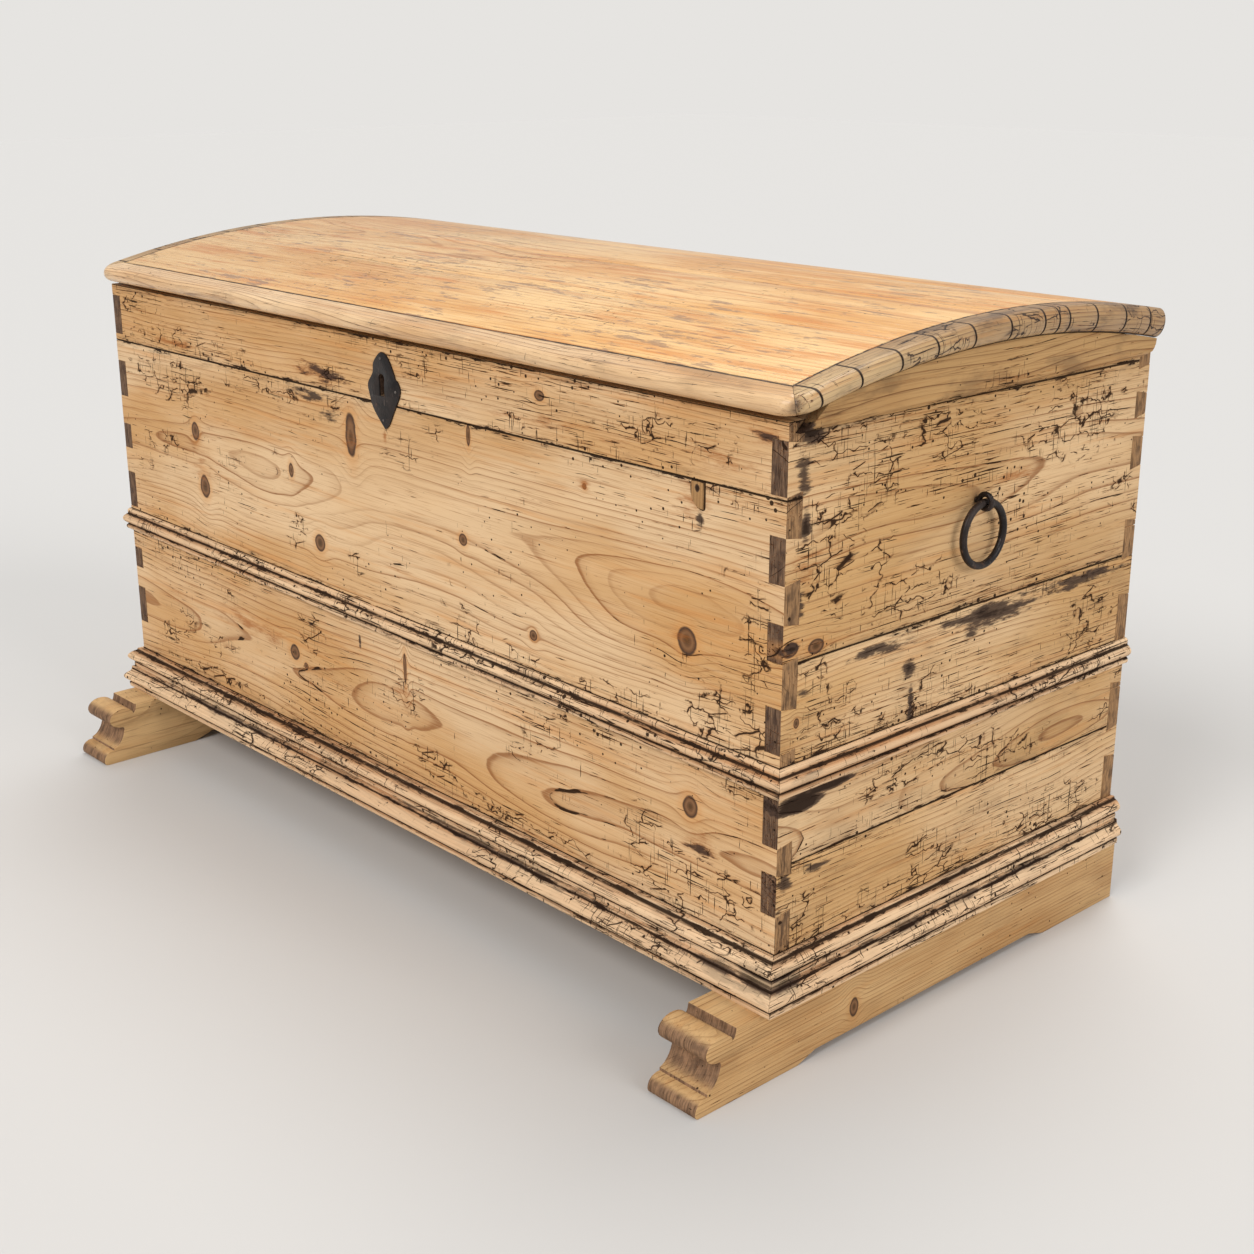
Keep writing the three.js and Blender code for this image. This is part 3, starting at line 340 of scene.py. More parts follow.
SOOT_AND_SHADOW = tone(40, 25, 15)
STAIN_AND_SHADE = tone(66, 50, 42)
RUST = tone(158, 92, 40)
KNOT_RINGS = tone(134, 96, 66)
FLECK = tone(134, 103, 86)
IRON_RUST = tone(104, 72, 52)
IRON_SCRATCH = tone(140, 120, 108)
GRIME_DARK, GRIME_PALE = tone(44, 31, 25), tone(140, 104, 68)
FORGED_DARK, FORGED_WORN = tone(25, 20, 19), tone(52, 41, 36)
NAIL_DARK, NAIL_WORN = tone(88, 80, 76), tone(150, 140, 132)
FLOOR_TONE = tone(204, 202, 199)
BACKDROP_TONE = tone(230, 228, 225)
WHITE = (1, 1, 1, 1)
BODY_TONES = {
    "pale": tone(224, 190, 148), "honey": tone(204, 158, 105), "line": tone(142, 88, 46),
    "warm": tone(206, 142, 80), "knot": tone(92, 62, 44), "end": tone(164, 126, 88),
}
END_WALL_TONES = {
    "pale": tone(220, 185, 141), "honey": tone(202, 160, 108), "line": tone(134, 84, 46),
    "warm": tone(200, 140, 82), "knot": tone(90, 62, 44), "end": tone(118, 92, 72),
}
LID_TONES = {
    "pale": tone(240, 198, 138), "honey": tone(222, 163, 90), "line": tone(164, 100, 46),
    "warm": tone(208, 130, 58), "knot": tone(130, 80, 46), "end": tone(150, 104, 60),
}
MOULDING_TONES = {
    "pale": tone(234, 200, 160), "honey": tone(196, 150, 108), "line": tone(112, 72, 46),
    "warm": tone(188, 124, 74), "knot": tone(110, 70, 46), "end": tone(140, 106, 74),
}
PLUG_TONES = {
    "pale": tone(186, 146, 100), "honey": tone(164, 124, 80), "line": tone(112, 74, 44),
    "warm": tone(170, 112, 60), "knot": tone(100, 64, 40), "end": tone(104, 82, 66),
}
NOSE_TONES = {
    "pale": tone(238, 204, 160), "honey": tone(208, 164, 115), "line": tone(130, 88, 58),
    "warm": tone(206, 148, 90), "knot": tone(120, 76, 50), "end": tone(140, 112, 84),
}
END_NOSE_TONES = {
    "pale": tone(202, 170, 124), "honey": tone(166, 130, 88), "line": tone(104, 72, 48),
    "warm": tone(176, 122, 70), "knot": tone(120, 76, 50), "end": tone(140, 112, 84),
}
CLEAT_TONES = {
    "pale": tone(190, 150, 100), "honey": tone(168, 124, 76), "line": tone(104, 64, 36),
    "warm": tone(172, 114, 60), "knot": tone(110, 70, 44), "end": tone(120, 88, 62),
}
FOOT_TONES = {
    "pale": tone(211, 174, 124), "honey": tone(188, 146, 97), "line": tone(128, 86, 50),
    "warm": tone(186, 132, 78), "knot": tone(96, 66, 46), "end": tone(150, 116, 88),
}
INSIDE_TONES = {
    "pale": tone(196, 158, 104), "honey": tone(176, 136, 82), "line": tone(138, 94, 52),
    "warm": tone(180, 126, 68), "knot": tone(116, 74, 44), "end": tone(130, 98, 66),
}


def pine(name, grain, pith, seed, tones, ring=0.0055, age=1.0, scored=0.0, clouded=0.0, moulded=0.0,
         gloss=0.5, shine=0.08, flecks=0.0, knots=(), stains_and_shade=(), rusts=(), scores=(), washes=(), seam_and_shade_lines=(),
         dirt_and_shade_reach=0.012, bit_reach=(0.008, 0.004), open_top=False, lines=(), arch=None):
    """Old pine. The grain names the axes along, across and into the board, and the pith is where the
    heart of the tree lies across and into it. Age is how marked the wood is, scored how widely cracks run
    every way, and clouded how dark the smudges are. A seam is a height at the left end and at the right
    end. Dark dirt lies as far from it as the dirt and shade reach, in bits that thin out over the bit
    reach; at the front rim under the lid and at the cleat's lower edge this darkening is a painted
    shadow, and in the quirks of a moulding it is dirt with painted shade. A moulded seam is darker, with
    pale wood next to it. An open top keeps its seams off the faces that look up. A line is an axis with
    a place on it. A bent piece gives the middle of its arch and its radius, and its y and z are then the
    way round the arch and the distance from its middle."""
    finish = Finish(name)
    axes = dict(zip("xyz", finish.parts(finish.place)))
    if arch:
        middle_y, middle_z, radius = arch
        off_y, off_z = axes["y"] - middle_y, axes["z"] - middle_z
        axes["y"] = off_y.math("ARCTAN2", off_z) * radius
        axes["z"] = (off_y * off_y + off_z * off_z).math("SQRT")
    run, rise, depth = (axes[letter] for letter in grain)
    pith_rise, pith_depth = pith

    def streaks(along, across, detail=2.0, roughness=0.5, shift=0.0):
        return finish.noise(
            finish.point(run * along + seed, rise * across + shift, depth * across), detail, roughness,
        )

    def away_from(centre_run, centre_rise, half_length, half_height):
        off_run = (run - centre_run) / half_length
        off_rise = (rise - centre_rise) / half_height
        return (off_run * off_run + off_rise * off_rise).math("SQRT")

    def blots(spots):
        """How deep a place lies in some spots, from 0 at an edge."""
        deepest = None
        for *spot, amount in spots:
            inside = (SPOT_REACH - away_from(*spot)) * amount
            deepest = inside if deepest is None else deepest | inside
        return deepest

    # Growth rings, parted round the knots
    wander = streaks(1.3, 4.0) - 0.5
    wobble = streaks(9.0, 30.0, 3.0, shift=3.0) - 0.5
    parted = rise
    nearest = None
    for knot in knots:
        away = away_from(*knot)
        nearest = away if nearest is None else nearest.math("MINIMUM", away)
        pull = (away * away * (-1 / KNOT_REACH ** 2)).math("EXPONENT")
        parted = parted - (rise - knot[1]) * pull * KNOT_PARTING
    across = parted - pith_rise + wander * WANDER_ACROSS
    into = depth - pith_depth + wander * WANDER_INTO
    rings = ((across * across + into * into).math("SQRT") + wobble * WOBBLE) / ring
    phase = rings.math("FRACT")
    strength = finish.noise(finish.point(rings * 0.8, seed, run * 1.5), 1.0).between(0.30, 0.70)
    late = phase.between(0.45, 0.93) * phase.between(1.0, 0.95)
    edge_of_ring = phase.between(0.80, 0.92) * phase.between(1.0, 0.96)

    # Colour of the clean wood
    broad = streaks(3.0, 9.0, 3.0)
    streak = streaks(4.0, 75.0, 4.0, 0.65, shift=5.0)
    hair = streaks(9.0, 430.0, 3.0, 0.6, shift=6.0)
    fibre = streaks(14.0, 900.0, 2.0)
    colour = finish.blend(broad.between(0.36, 0.64), tones["pale"], tones["honey"])
    if washes:
        colour = finish.blend(blots(washes).between(0.0, 0.9) * 0.7, colour, tones["pale"])
    colour = finish.blend(streak.between(0.50, 0.72) * 0.5, colour, tones["warm"])
    lines_of_growth = (late * 0.26 + edge_of_ring * 0.56) * (strength * 0.85 + 0.15)
    colour = finish.blend(lines_of_growth, colour, tones["line"])
    colour = finish.blend(hair.between(0.57, 0.71) * 0.55, colour, tones["line"])
    colour = finish.blend(fibre.between(0.52, 0.78) * 0.40, colour, tones["line"])
    colour = finish.blend(fibre.between(0.46, 0.25) * 0.30, colour, tones["pale"])

    # End grain, where the surface faces along the grain
    facing = dict(zip("xyz", finish.parts(finish.field("TexCoord", output="Normal"))))
    end = facing[grain[0]].math("ABSOLUTE").between(0.35, 0.85)
    sawn = finish.noise(finish.point(rise * 45.0 + seed, depth * 760.0, run * 60.0), 3.0, 0.65)
    patchy = finish.noise(finish.point(rise * 70.0, depth * 110.0, run * 60.0 + seed), 2.0)
    sawn_colour = finish.blend(sawn.between(0.44, 0.66) * (0.8 * age), tones["end"], SOOT_AND_SHADOW)
    sawn_colour = finish.blend(sawn.between(0.40, 0.28) * 0.5, sawn_colour, tones["honey"])
    sawn_colour = finish.blend(patchy.between(0.45, 0.66) * (0.6 * age), sawn_colour, STAIN_AND_SHADE)
    colour = finish.blend(end, colour, sawn_colour)

    # Knots: a brown heart with its own rings, a thin dark rim and a warm halo
    if nearest is not None:
        ragged = nearest + wobble * 1.1
        heart_rings = (ragged * 13.0).math("SINE") * 0.5 + 0.5
        heart = finish.blend(heart_rings * 0.6, tones["knot"], KNOT_RINGS)
        heart = finish.blend(ragged.between(0.40, 0.15) * 0.8, heart, SOOT_AND_SHADOW)
        colour = finish.blend(ragged.between(2.4, 0.9) * 0.45, colour, tones["warm"])
        colour = finish.blend(ragged.between(1.08, 0.96) * 0.9, colour, heart)
        rim = ragged.between(0.80, 0.98) * ragged.between(1.22, 1.02)
        colour = finish.blend(rim * 0.85, colour, STAIN_AND_SHADE)

    # Rusty smears, broken up along the grain
    mottle = streaks(26.0, 130.0, 4.0, 0.7, shift=7.0)
    if rusts:
        smear = (blots(rusts) + (mottle - 0.5) * 2.6).between(0.30, 1.1)
        colour = finish.blend(smear * 0.75, colour, RUST)

    # Where wear and dirt gather: in clouds, and along the seams
    crowd = streaks(4.5, 8.0, 3.0, 0.6, shift=11.0)
    band = None
    for left_height, right_height in seam_and_shade_lines:
        slope = (right_height - left_height) / (RIGHT - LEFT)
        gap = rise.distance(run * slope + (left_height + right_height) / 2)
        band = gap if band is None else band.math("MINIMUM", gap)
    if band is not None:
        if open_top:
            band = band | facing["z"].between(0.5, 0.9) * CLEAR_OF_SEAM
        crowd = crowd + band.between(SEAM_REACH, 0.0) * SEAM_CROWDING

    # Cracks that follow the rings, dashes along the grain, ticks across it and worm holes
    broken = finish.noise(finish.point(run * 15.0 + seed, rings * 1.9, seed), 3.0, 0.65)
    cracks = (broken + crowd * (CRACK_CROWDING * age)).between(0.79, 0.82)
    cracks = cracks * edge_of_ring.between(0.4, 0.8)
    dash_amount = streaks(24.0, 620.0, 3.0, 0.6, shift=13.0) + crowd * (CRACK_CROWDING * age)
    dashes = dash_amount.between(0.850, 0.880)
    tick = streaks(650.0, 45.0, 2.0, 0.5, shift=17.0)
    ticks = (tick + crowd * (TICK_CROWDING * age)).between(0.885, 0.905)
    pores = finish.cells(finish.point(run * HOLE_CELLS + seed, rise * HOLE_CELLS, depth * HOLE_CELLS))
    holes = (pores - (crowd - 0.5) * (HOLE_CROWDING * age)).between(0.072, 0.052)
    marks = cracks | dashes | ticks | holes
    grit = finish.noise(finish.point(run * 60.0, rise * 60.0, depth * 60.0 + seed), 3.0, 0.6)
    if scored or scores:
        bent = (finish.noise(finish.point(run * 60.0 + seed, rise * 60.0, depth * 60.0), 2.0) - 0.5) * 1.1
        where = finish.point(
            run * CRACKLE_ALONG + bent, rise * CRACKLE_ACROSS + bent, depth * CRACKLE_INTO + seed,
        )
        to_crack = finish.cells(where, "DISTANCE_TO_EDGE")
        patch = (streaks(9.0, 14.0, 2.0, shift=19.0) + scored * 0.10).between(0.62, 0.66)
        if scores:
            patch = patch | (blots(scores) + (grit - 0.5) * 2.0).between(0.2, 0.5)
        tall = streaks(620.0, 24.0, 2.0, 0.5, shift=31.0).between(0.655, 0.68)
        long = streaks(18.0, 520.0, 2.0, 0.5, shift=37.0).between(0.64, 0.67)
        patch = patch * (grit.between(0.42, 0.50) | tall | long)
        marks = marks | (to_crack.between(0.030, 0.014) | tall | long) * patch
        colour = finish.blend(to_crack.between(0.07, 0.02) * patch * 0.45, colour, tones["line"])
    colour = finish.blend(dash_amount.between(0.78, 0.86) * 0.5, colour, RUST)

    # Dark stains, and dirt in the seams, with painted shade where a stain or seam lies in shade: the
    # plinth's cove, the cleat, the front rim under the lid and the quirks of the mouldings
    if clouded:
        smudge = streaks(11.0, 26.0, 4.0, 0.65, shift=47.0).between(0.50, 0.66)
        colour = finish.blend(smudge * clouded, colour, STAIN_AND_SHADE)
    if stains_and_shade:
        blotted = blots(stains_and_shade) + (mottle - 0.5) * 2.8
        colour = finish.blend(blotted.between(0.40, 0.90) * 0.92, colour, STAIN_AND_SHADE)
        colour = finish.blend(blotted.between(1.00, 1.50) * 0.85, colour, SOOT_AND_SHADOW)
    shade = marks
    # A dark band along each seam: dirt in the joints between boards, a painted shadow at the front rim under
    # the lid and along the cleat's lower edge, and dirt with painted shade in the quirks of the mouldings
    if band is not None:
        bits = (mottle + band.between(0.005, 0.0) * 0.13).between(0.65, 0.69) * band.between(*bit_reach)
        core = band.between(0.0015, 0.0006) * mottle.between(0.28, 0.42)
        haze = band.between(dirt_and_shade_reach, 0.0)
        colour = finish.blend(band.between(0.002, 0.005) * moulded, colour, tones["pale"])
        colour = finish.blend(haze * (mottle.between(0.45, 0.72) * 0.6 + moulded * 0.4), colour, STAIN_AND_SHADE)
        shade = shade | bits | core
    # Dark lines: the joints round the lid panel and the plug, the saw kerfs, and on the lid's end mouldings
    # a painted shadow line along their lower edge
    for axis, place in lines:
        ragged_line = axes[axis] + (grit - 0.5) * 0.002
        shade = shade | ragged_line.distance(place).between(0.0018, 0.0009)
    colour = finish.blend(shade * 0.95, colour, SOOT_AND_SHADOW)

    # Worn grey flecks on a surface that is handled and polished
    if flecks:
        sweep = streaks(5.0, 48.0, 4.0, 0.65, shift=43.0)
        wear = streaks(24.0, 120.0, 4.0, 0.7, shift=29.0)
        cloud = finish.noise(finish.point(run * 4.5, rise * 7.0 + seed, depth), 2.0)
        worn = (wear + cloud * 0.55).between(0.875, 0.93) * facing["z"].between(-0.2, 0.2)
        colour = finish.blend(sweep.between(0.52, 0.66) * 0.65, colour, tones["warm"])
        colour = finish.blend(sweep.between(0.47, 0.34) * 0.60, colour, tones["pale"])
        colour = finish.blend(worn * flecks, colour, FLECK)

    roughness = fibre * 0.12 + late * 0.05 + shade * 0.3 + gloss
    height = late * 0.25 + fibre * 0.25 - shade + 1.0
    return finish.close(colour, roughness, height, WOOD_RELIEF, {"Specular IOR Level": shine})


def edge_grime(name):
    """The dirt that sits along the joints between boards."""
    finish = Finish(name)
    x, y, z = finish.parts(finish.place)
    patchy = finish.noise(finish.point(x * 40.0, y * 40.0, z * 60.0), 3.0, 0.6)
    colour = finish.blend(patchy.between(0.42, 0.66), GRIME_DARK, GRIME_PALE)
    return finish.close(colour, patchy * 0.2 + 0.6, patchy, GRIME_RELIEF, {"Specular IOR Level": 0.2})


def forged_iron(name, dark, worn):
    """Forged iron, worn bright in clouded patches, with a little rust."""
    finish = Finish(name)
    x, y, z = finish.parts(finish.place)
    hammer = finish.noise(finish.point(x * 140.0, y * 140.0, z * 140.0), 3.0, 0.6)
    cloud = finish.noise(finish.point(x * 38.0, y * 38.0, z * 38.0), 3.0, 0.6)
    scratch = finish.noise(finish.point(x * 600.0, y * 600.0, z * 90.0), 2.0)
    colour = finish.blend(cloud.between(0.35, 0.7), dark, worn)
    colour = finish.blend(hammer.between(0.60, 0.78) * 0.5, colour, IRON_RUST)
    colour = finish.blend(scratch.between(0.66, 0.76) * 0.5, colour, IRON_SCRATCH)
    polish = {"Metallic": 0.4, "Specular IOR Level": 0.4}
    return finish.close(colour, cloud * 0.3 + 0.30, hammer, IRON_RELIEF, polish)


def select_only(piece):
    bpy.ops.object.select_all(action="DESELECT")
    piece.select_set(True)
    bpy.context.view_layer.objects.active = piece


def apply_modifier(piece, kind, **settings):
    select_only(piece)
    modifier = piece.modifiers.new(kind.title(), kind)
    for setting, value in settings.items():
        setattr(modifier, setting, value)
    bpy.ops.object.modifier_apply(modifier=modifier.name)


def smooth(piece):
    select_only(piece)
    bpy.ops.object.shade_smooth_by_angle(angle=SMOOTH_ANGLE)


def copy_of(node, name):
    """A merged copy of a CAD node, to be finished as a piece of its own."""
    select_only(frame["nodes"][node])
    bpy.ops.object.duplicate()
    bpy.ops.object.parent_clear(type="CLEAR_KEEP_TRANSFORM")
    piece = bpy.context.object
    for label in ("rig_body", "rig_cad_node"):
        del piece[label]
    piece.name = name
    bpy.ops.object.mode_set(mode="EDIT")
    bpy.ops.mesh.select_all(action="SELECT")
    bpy.ops.mesh.remove_doubles(threshold=MERGE_GAP)
    bpy.ops.mesh.dissolve_limited(angle_limit=FLAT_ANGLE)
    bpy.ops.object.mode_set(mode="OBJECT")
    return piece


def settle(piece, nodes, slot, *materials):
    """Gives a piece its materials and its body, and hides the nodes that it stands for."""
    piece.data.materials.clear()
    for material in materials:
        piece.data.materials.append(material)
    body = next(body for body, held in frame["record"]["behaviour"]["bodies"].items() if nodes[0] in held)
    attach(piece, body)
    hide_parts(*nodes)


def worn_board(node, slot, material, grime=None, edge=BOARD_EDGE):
    """A board with its edges rounded by use."""
    piece = copy_of(node, node + "_worn")
    apply_modifier(
        piece, "BEVEL", width=edge, segments=EDGE_SEGMENTS, limit_method="ANGLE",
        angle_limit=SMOOTH_ANGLE, material=1 if grime else -1,
    )
    smooth(piece)
    settle(piece, [node], slot, *([material, grime] if grime else [material]))


def nail(name, place, facing, body, material):
    """A nail with a low domed head."""
    bpy.ops.object.select_all(action="DESELECT")
    bpy.ops.mesh.primitive_uv_sphere_add(
        segments=NAIL_SEGMENTS, ring_count=NAIL_RINGS, radius=NAIL_RADIUS,
    )
    piece = bpy.context.object
    piece.name = name
    piece.scale = (1, 1, NAIL_RISE_SHARE)
    piece.rotation_mode = "QUATERNION"
    piece.rotation_quaternion = Vector((0, 0, 1)).rotation_difference(Vector(facing))
    piece.location = place
    bpy.ops.object.transform_apply(location=True, rotation=True, scale=True)
    bpy.ops.object.shade_smooth()
    piece.data.materials.append(material)
    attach(piece, body)


def level(height):
    """A seam that is as high at its left end as at its right end."""
    return height, height


# Seams that gather dirt, and the cleat's lower edge, along which a shadow is painted: the height at the left
# end and at the right end

front_waist_low, front_waist_high = (corner.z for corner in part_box("waist_moulding_front"))
right_waist_low, right_waist_high = (corner.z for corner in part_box("waist_moulding_right"))
left_waist = [level(corner.z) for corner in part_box("waist_moulding_left")]
waist_height = right_waist_high - right_waist_low
front_waist = [
    (front_waist_high - waist_height, front_waist_low), (front_waist_high, front_waist_low + waist_height),
]
right_waist = [level(right_waist_low), level(right_waist_high)]
plinth_edge = level(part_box("plinth_upper_right")[1].z)
upper_seam = (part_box("front_top_board")[0].z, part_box("front_middle_board")[1].z)
end_seam = level(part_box("right_upper_board")[0].z)
end_low_seam = level(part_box("right_middle_board")[0].z)
# The cleat's lower edge: a painted shadow, with some dirt, on the cleat and on the end wall below it
cleat_shadow_line = level(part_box("lid_cleat_right")[0].z)

# Finishes

grime = edge_grime("joint_grime")
iron = forged_iron("forged_iron", FORGED_DARK, FORGED_WORN)
nail_iron = forged_iron("nail_iron", NAIL_DARK, NAIL_WORN)

front_finishes = {
    "front_lower_board": pine(
        "front_lower_pine", "xzy", (0.21, FRONT + BEHIND_FRONT), 1.7, BODY_TONES,
        knots=FRONT_LOWER_KNOTS, stains_and_shade=FRONT_LOWER_STAINS, rusts=FRONT_LOWER_RUSTS,
        scores=FRONT_LOWER_SCORES,
        seam_and_shade_lines=(*front_waist, plinth_edge),
    ),
    "front_middle_board": pine(
        "front_middle_pine", "xzy", (0.44, FRONT + BEHIND_FRONT), 5.2, BODY_TONES, age=0.9,
        knots=FRONT_MIDDLE_KNOTS, stains_and_shade=FRONT_MIDDLE_STAINS, rusts=FRONT_MIDDLE_RUSTS,
        scores=FRONT_MIDDLE_SCORES, washes=FRONT_MIDDLE_WASHES,
        seam_and_shade_lines=(upper_seam, *front_waist),
    ),
    "front_top_board": pine(
        "front_top_pine", "xzy", (0.50, FRONT + BEHIND_FRONT), 9.4, BODY_TONES, ring=0.0045, age=1.06,
        knots=FRONT_TOP_KNOTS, stains_and_shade=FRONT_TOP_STAINS, rusts=FRONT_TOP_RUSTS,
        # The seam at the rim is a painted shadow under the lid's front moulding; the open top keeps it off
        # the rim's upper face
        scores=FRONT_TOP_SCORES, seam_and_shade_lines=(upper_seam, level(RIM)), open_top=True,
    ),
}
right_finishes = {
    "right_lower_board": pine(
        "right_lower_pine", "yzx", (0.10, RIGHT - BEHIND_END), 3.3, END_WALL_TONES, ring=0.005, age=1.12,
        clouded=0.15, scores=RIGHT_LOWER_SCORES, stains_and_shade=RIGHT_LOWER_STAINS,
        seam_and_shade_lines=(plinth_edge, right_waist[0], end_low_seam),
    ),
    "right_middle_board": pine(
        "right_middle_pine", "yzx", (0.24, RIGHT - BEHIND_END), 7.9, END_WALL_TONES, ring=0.0045, age=1.08,
        clouded=0.15, scores=RIGHT_MIDDLE_SCORES, knots=RIGHT_MIDDLE_KNOTS, stains_and_shade=RIGHT_MIDDLE_STAINS,
        seam_and_shade_lines=(*right_waist, end_seam, end_low_seam),
    ),
    "right_upper_board": pine(
        "right_upper_pine", "yzx", (0.53, RIGHT - BEHIND_END), 12.1, END_WALL_TONES, ring=0.0065, age=1.1,
        scored=0.3, scores=RIGHT_UPPER_SCORES, knots=RIGHT_UPPER_KNOTS,
        stains_and_shade=RIGHT_UPPER_STAINS, rusts=RIGHT_UPPER_RUSTS,
        seam_and_shade_lines=(end_seam, cleat_shadow_line),
    ),
}
left_pine = pine(
    "left_pine", "yzx", (0.40, LEFT + BEHIND_END), 15.7, END_WALL_TONES, scored=0.5,
    seam_and_shade_lines=(plinth_edge, *left_waist, end_seam),
)
back_pine = pine("back_pine", "xzy", (0.35, BACK - BEHIND_FRONT), 21.3, BODY_TONES, age=0.9)

for side_finishes in (front_finishes, right_finishes):
    for node, material in side_finishes.items():
        worn_board(node, "board_pine", material, grime)
for height in ("lower", "middle", "upper"):
    worn_board(f"left_{height}_board", "board_pine", left_pine, grime)
for height in ("lower", "middle", "top"):
    worn_board(f"back_{height}_board", "board_pine", back_pine, grime)

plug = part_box("front_plug")
plug_pine = pine(
    "plug_pine", "zxy", (0.40, FRONT), 25.0, PLUG_TONES, ring=0.004, age=0.9,
    stains_and_shade=(
        (plug[1].z - PLUG_DOT_DROP, (plug[0].x + plug[1].x) / 2, PLUG_DOT_RADIUS, PLUG_DOT_RADIUS, 2.0),
    ),
    lines=(("x", plug[0].x), ("x", plug[1].x), ("z", plug[0].z), ("z", plug[1].z)),
)
worn_board("front_plug", "board_pine", plug_pine, grime)

inside_pine = pine("inside_pine", "xyz", (0.0, 0.0), 31.0, INSIDE_TONES, age=0.5, gloss=0.68)
for name in ("front", "middle", "back"):
    worn_board(f"floor_board_{name}", "inside_pine", inside_pine)
till_pine = pine("till_pine", "yzx", (0.5, -0.46), 33.0, INSIDE_TONES, age=0.5, gloss=0.68)
for name in ("till_front", "till_bottom"):
    worn_board(name, "inside_pine", till_pine)

front_base = front_waist[0]
front_quirks = [tuple(base + quirk for base in front_base) for quirk in WAIST_QUIRKS]
right_quirks = [level(right_waist_low + quirk) for quirk in WAIST_QUIRKS]
left_quirks = [level(front_base[0] + quirk) for quirk in WAIST_QUIRKS]
plinth_quirks = [level(quirk) for quirk in PLINTH_QUIRKS]


# On the mouldings the quirks darken with dirt and painted shade, and pale wood runs beside them
def moulding_pine(name, grain, pith, seed, quirks, stains_and_shade):
    return pine(
        name, grain, pith, seed, MOULDING_TONES, ring=0.004, age=1.08, scored=1.2, clouded=0.3,
        moulded=0.6, seam_and_shade_lines=(*quirks, *plinth_quirks), dirt_and_shade_reach=0.0035, bit_reach=(0.0035, 0.0015),
        stains_and_shade=stains_and_shade,
    )


end_pith = (0.5, RIGHT - BEHIND_MOULDING)
front_moulding = moulding_pine(
    "moulding_pine_front", "xzy", (0.5, FRONT + BEHIND_MOULDING), 41.0, front_quirks, FRONT_MOULDING_STAINS_AND_COVE_SHADE,
)
end_mouldings = {
    "right": moulding_pine("moulding_pine_right", "yzx", end_pith, 43.0, right_quirks, END_MOULDING_STAINS_AND_COVE_SHADE),
    "left": moulding_pine("moulding_pine_left", "yzx", end_pith, 45.0, left_quirks, END_MOULDING_STAINS_AND_COVE_SHADE),
}
for kind in ("waist_moulding", "plinth_upper", "plinth_lower"):
    worn_board(f"{kind}_front", "moulding_pine", front_moulding, edge=MOULDING_EDGE)
    for side in ("left", "right"):
        worn_board(f"{kind}_{side}", "moulding_pine", end_mouldings[side], edge=MOULDING_EDGE)

foot_pine = pine(
    "foot_pine", "yzx", (-0.10, RIGHT + 0.05), 51.0, FOOT_TONES, ring=0.004, age=0.75, clouded=0.12,
    knots=FOOT_KNOTS,
)
for side in ("left", "right"):
    worn_board(f"foot_{side}", "foot_pine", foot_pine, edge=THICK_EDGE)

# Lid

panel_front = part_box("lid_board_front")[0].y
panel_left, panel_right = (corner.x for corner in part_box("lid_board_front"))
panel_lines = (("x", panel_left), ("x", panel_right), ("y", panel_front))
panel_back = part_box("lid_board_back")[1].y
front_angle = math.asin((panel_front - ARCH_Y) / (ARCH_RADIUS + LID_FRONT_THICKNESS))
back_angle = math.asin((panel_back - ARCH_Y) / (ARCH_RADIUS + LID_BACK_THICKNESS))
kerf_lines = tuple(
    ("y", ARCH_RADIUS * (front_angle + (back_angle - front_angle) * share) + KERF_WIDTH / 2)
    for share in KERF_SHARES
)
lid_pine = pine(
    "lid_pine", "xyz", (0.02, RIM - 0.03), 61.0, LID_TONES, ring=0.006, gloss=0.22, flecks=0.6,
    shine=0.5, lines=panel_lines,
)
nose_pine = pine(
    "lid_nose_pine", "xyz", (-0.50, RIM - 0.25), 63.0, NOSE_TONES, ring=0.004, age=1.04, gloss=0.22,
    shine=0.4, clouded=0.2, lines=(("y", panel_front),),
)
end_nose_pine = pine(
    "lid_end_nose_pine", "yzx", (ARCH_RADIUS - 0.2, RIGHT + 0.2), 65.0, END_NOSE_TONES, ring=0.004,
    age=1.1, gloss=0.30, shine=0.4, scored=0.5, clouded=0.6,
    # The last line is a painted shadow along the moulding's lower edge
    lines=(*panel_lines[:2], *kerf_lines, ("z", ARCH_RADIUS)),
    arch=(ARCH_Y, ARCH_Z, ARCH_RADIUS),
)
cleat_pine = pine(
    "cleat_pine", "yzx", (RIM - 0.25, RIGHT - 0.15), 67.0, CLEAT_TONES, ring=0.006, age=1.02, gloss=0.45,
    clouded=0.35, stains_and_shade=CLEAT_TIP_SHADOW, seam_and_shade_lines=(cleat_shadow_line,), dirt_and_shade_reach=0.008,
)
for name in ("front", "front_middle", "back_middle", "back"):
    worn_board(f"lid_board_{name}", "lid_pine", lid_pine, edge=LID_BOARD_EDGE)
worn_board("lid_moulding_front", "moulding_pine", nose_pine, edge=MOULDING_EDGE)
for side in ("left", "right"):
    worn_board(f"lid_moulding_{side}", "moulding_pine", end_nose_pine, edge=MOULDING_EDGE)
    worn_board(f"lid_cleat_{side}", "lid_pine", cleat_pine, edge=THICK_EDGE)

# Iron

for name in ("lock_case", "lock_bolt", "lid_staple", "escutcheon"):
    worn_board(name, "iron", iron, edge=IRON_EDGE)
for side in ("left", "right"):
    for name in ("hinge_body_strap", "hinge_lid_strap", "hinge_pin"):
        worn_board(f"{name}_{side}", "iron", iron, edge=IRON_EDGE)
    for name in ("ring", "ring_eye"):
        piece = copy_of(f"{name}_{side}", f"{name}_{side}_forged")
        apply_modifier(piece, "SUBSURF", levels=RING_LEVELS, render_levels=RING_LEVELS)
        apply_modifier(piece, "DISPLACE", strength=RING_SWELL, mid_level=0.0)
        smooth(piece)
        settle(piece, [f"{name}_{side}"], "iron", iron)

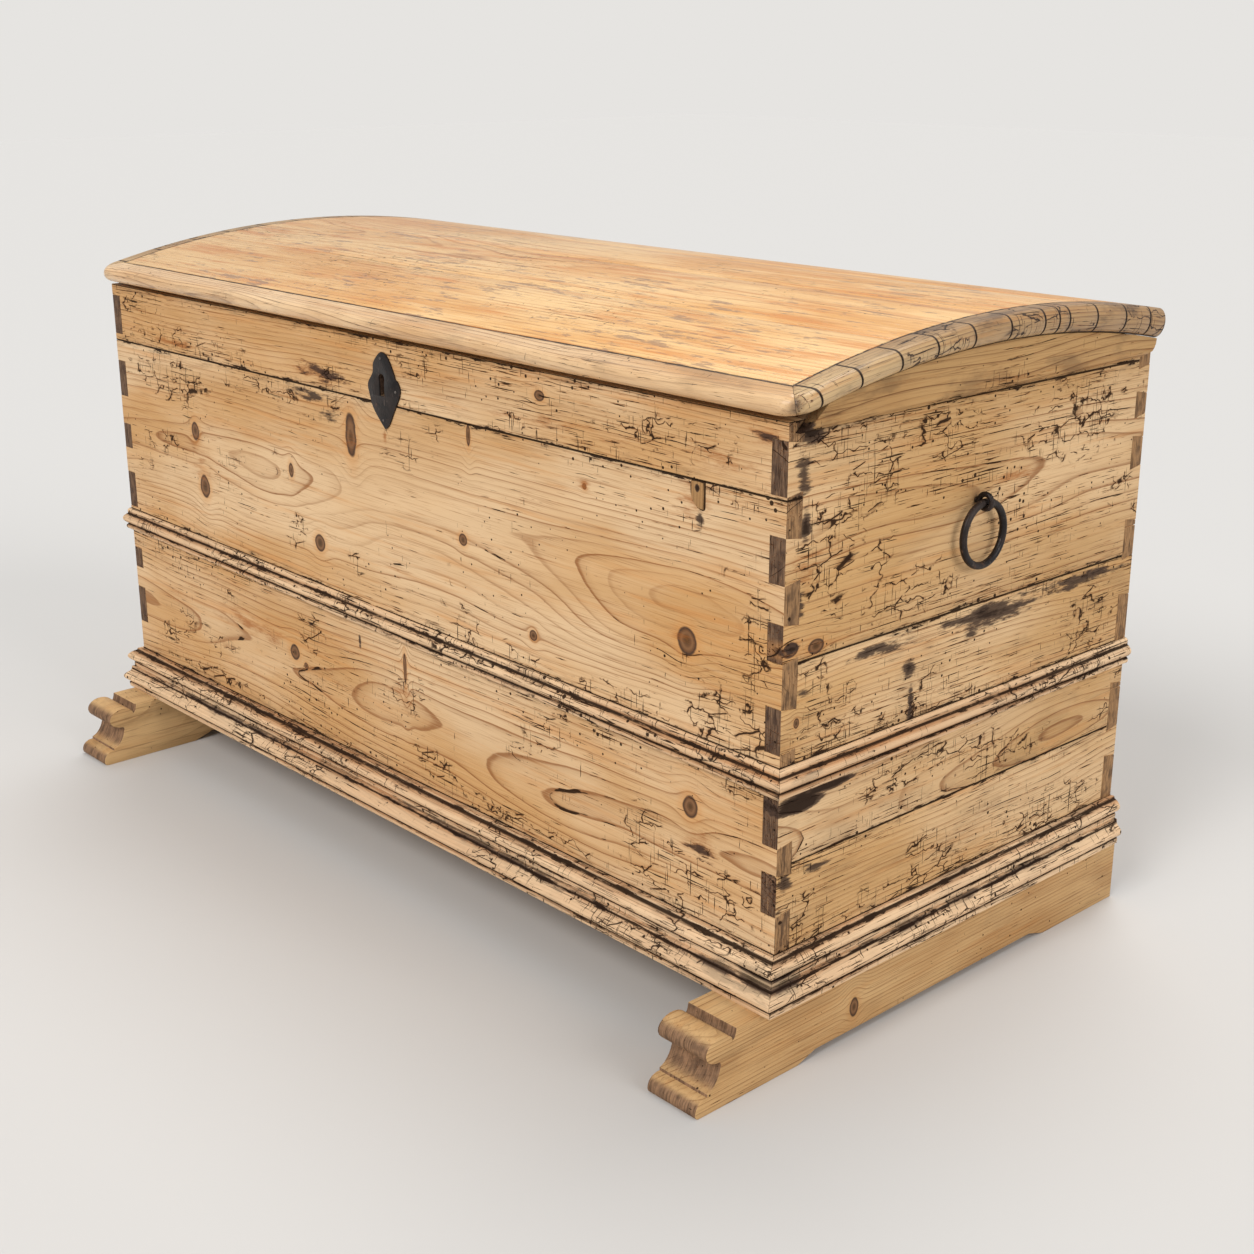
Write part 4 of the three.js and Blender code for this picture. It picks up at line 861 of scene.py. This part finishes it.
plate_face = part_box("escutcheon")[0].y
for number, (x, z) in enumerate(NAIL_PLACES):
    nail(f"escutcheon_nail_{number + 1}", (x, plate_face, z), (0, -1, 0), "chest_body", nail_iron)

# Camera, floor and light

camera_data = bpy.data.cameras.new("camera")
camera_data.lens = LENS
camera_data.sensor_width = SENSOR
camera = bpy.data.objects.new("camera", camera_data)
bpy.context.scene.collection.objects.link(camera)
camera.location = CAMERA_PLACE
camera.rotation_euler = (CAMERA_TILT, 0, CAMERA_TURN)
bpy.context.scene.camera = camera

bpy.ops.object.select_all(action="DESELECT")
bpy.ops.mesh.primitive_plane_add(size=FLOOR_SIZE)
studio_floor = bpy.context.object
studio_floor.name = "studio_floor"
floor_finish = Finish("studio_floor")
floor_finish.node("OutputMaterial", None, {"Surface": floor_finish.field(
    "BsdfPrincipled", None, {"Base Color": FLOOR_TONE, "Roughness": 0.9},
)})
studio_floor.data.materials.append(floor_finish.material)


def lamp(name, place, aim, angle, power):
    data = bpy.data.lights.new(name, "SUN")
    data.angle = math.radians(angle)
    data.energy = power
    made = bpy.data.objects.new(name, data)
    bpy.context.scene.collection.objects.link(made)
    made.location = place
    made.rotation_mode = "QUATERNION"
    made.rotation_quaternion = (Vector(aim) - Vector(place)).to_track_quat("-Z", "Y")


lamp("key", (0.4, -2.8, 2.8), CHEST_MIDDLE, angle=24, power=1.7)
lamp("side", (3.4, 0.4, 2.0), CHEST_MIDDLE, angle=30, power=1.05)
lamp("top", (-0.6, 1.2, 3.2), CHEST_MIDDLE, angle=30, power=1.1)

world = bpy.data.worlds.new("studio")
world.use_nodes = True
bpy.context.scene.world = world
world_nodes = world.node_tree.nodes
daylight = world_nodes["Background"]
daylight.inputs["Color"].default_value = WHITE
daylight.inputs["Strength"].default_value = DAYLIGHT
seen = world_nodes.new("ShaderNodeBackground")
seen.inputs["Color"].default_value = BACKDROP_TONE
light_path = world_nodes.new("ShaderNodeLightPath")
either = world_nodes.new("ShaderNodeMixShader")
for source, target in (
    (light_path.outputs["Is Camera Ray"], either.inputs[0]), (daylight.outputs[0], either.inputs[1]),
    (seen.outputs[0], either.inputs[2]), (either.outputs[0], world_nodes["World Output"].inputs[0]),
):
    world.node_tree.links.new(source, target)

bpy.context.scene.view_settings.view_transform = "Standard"
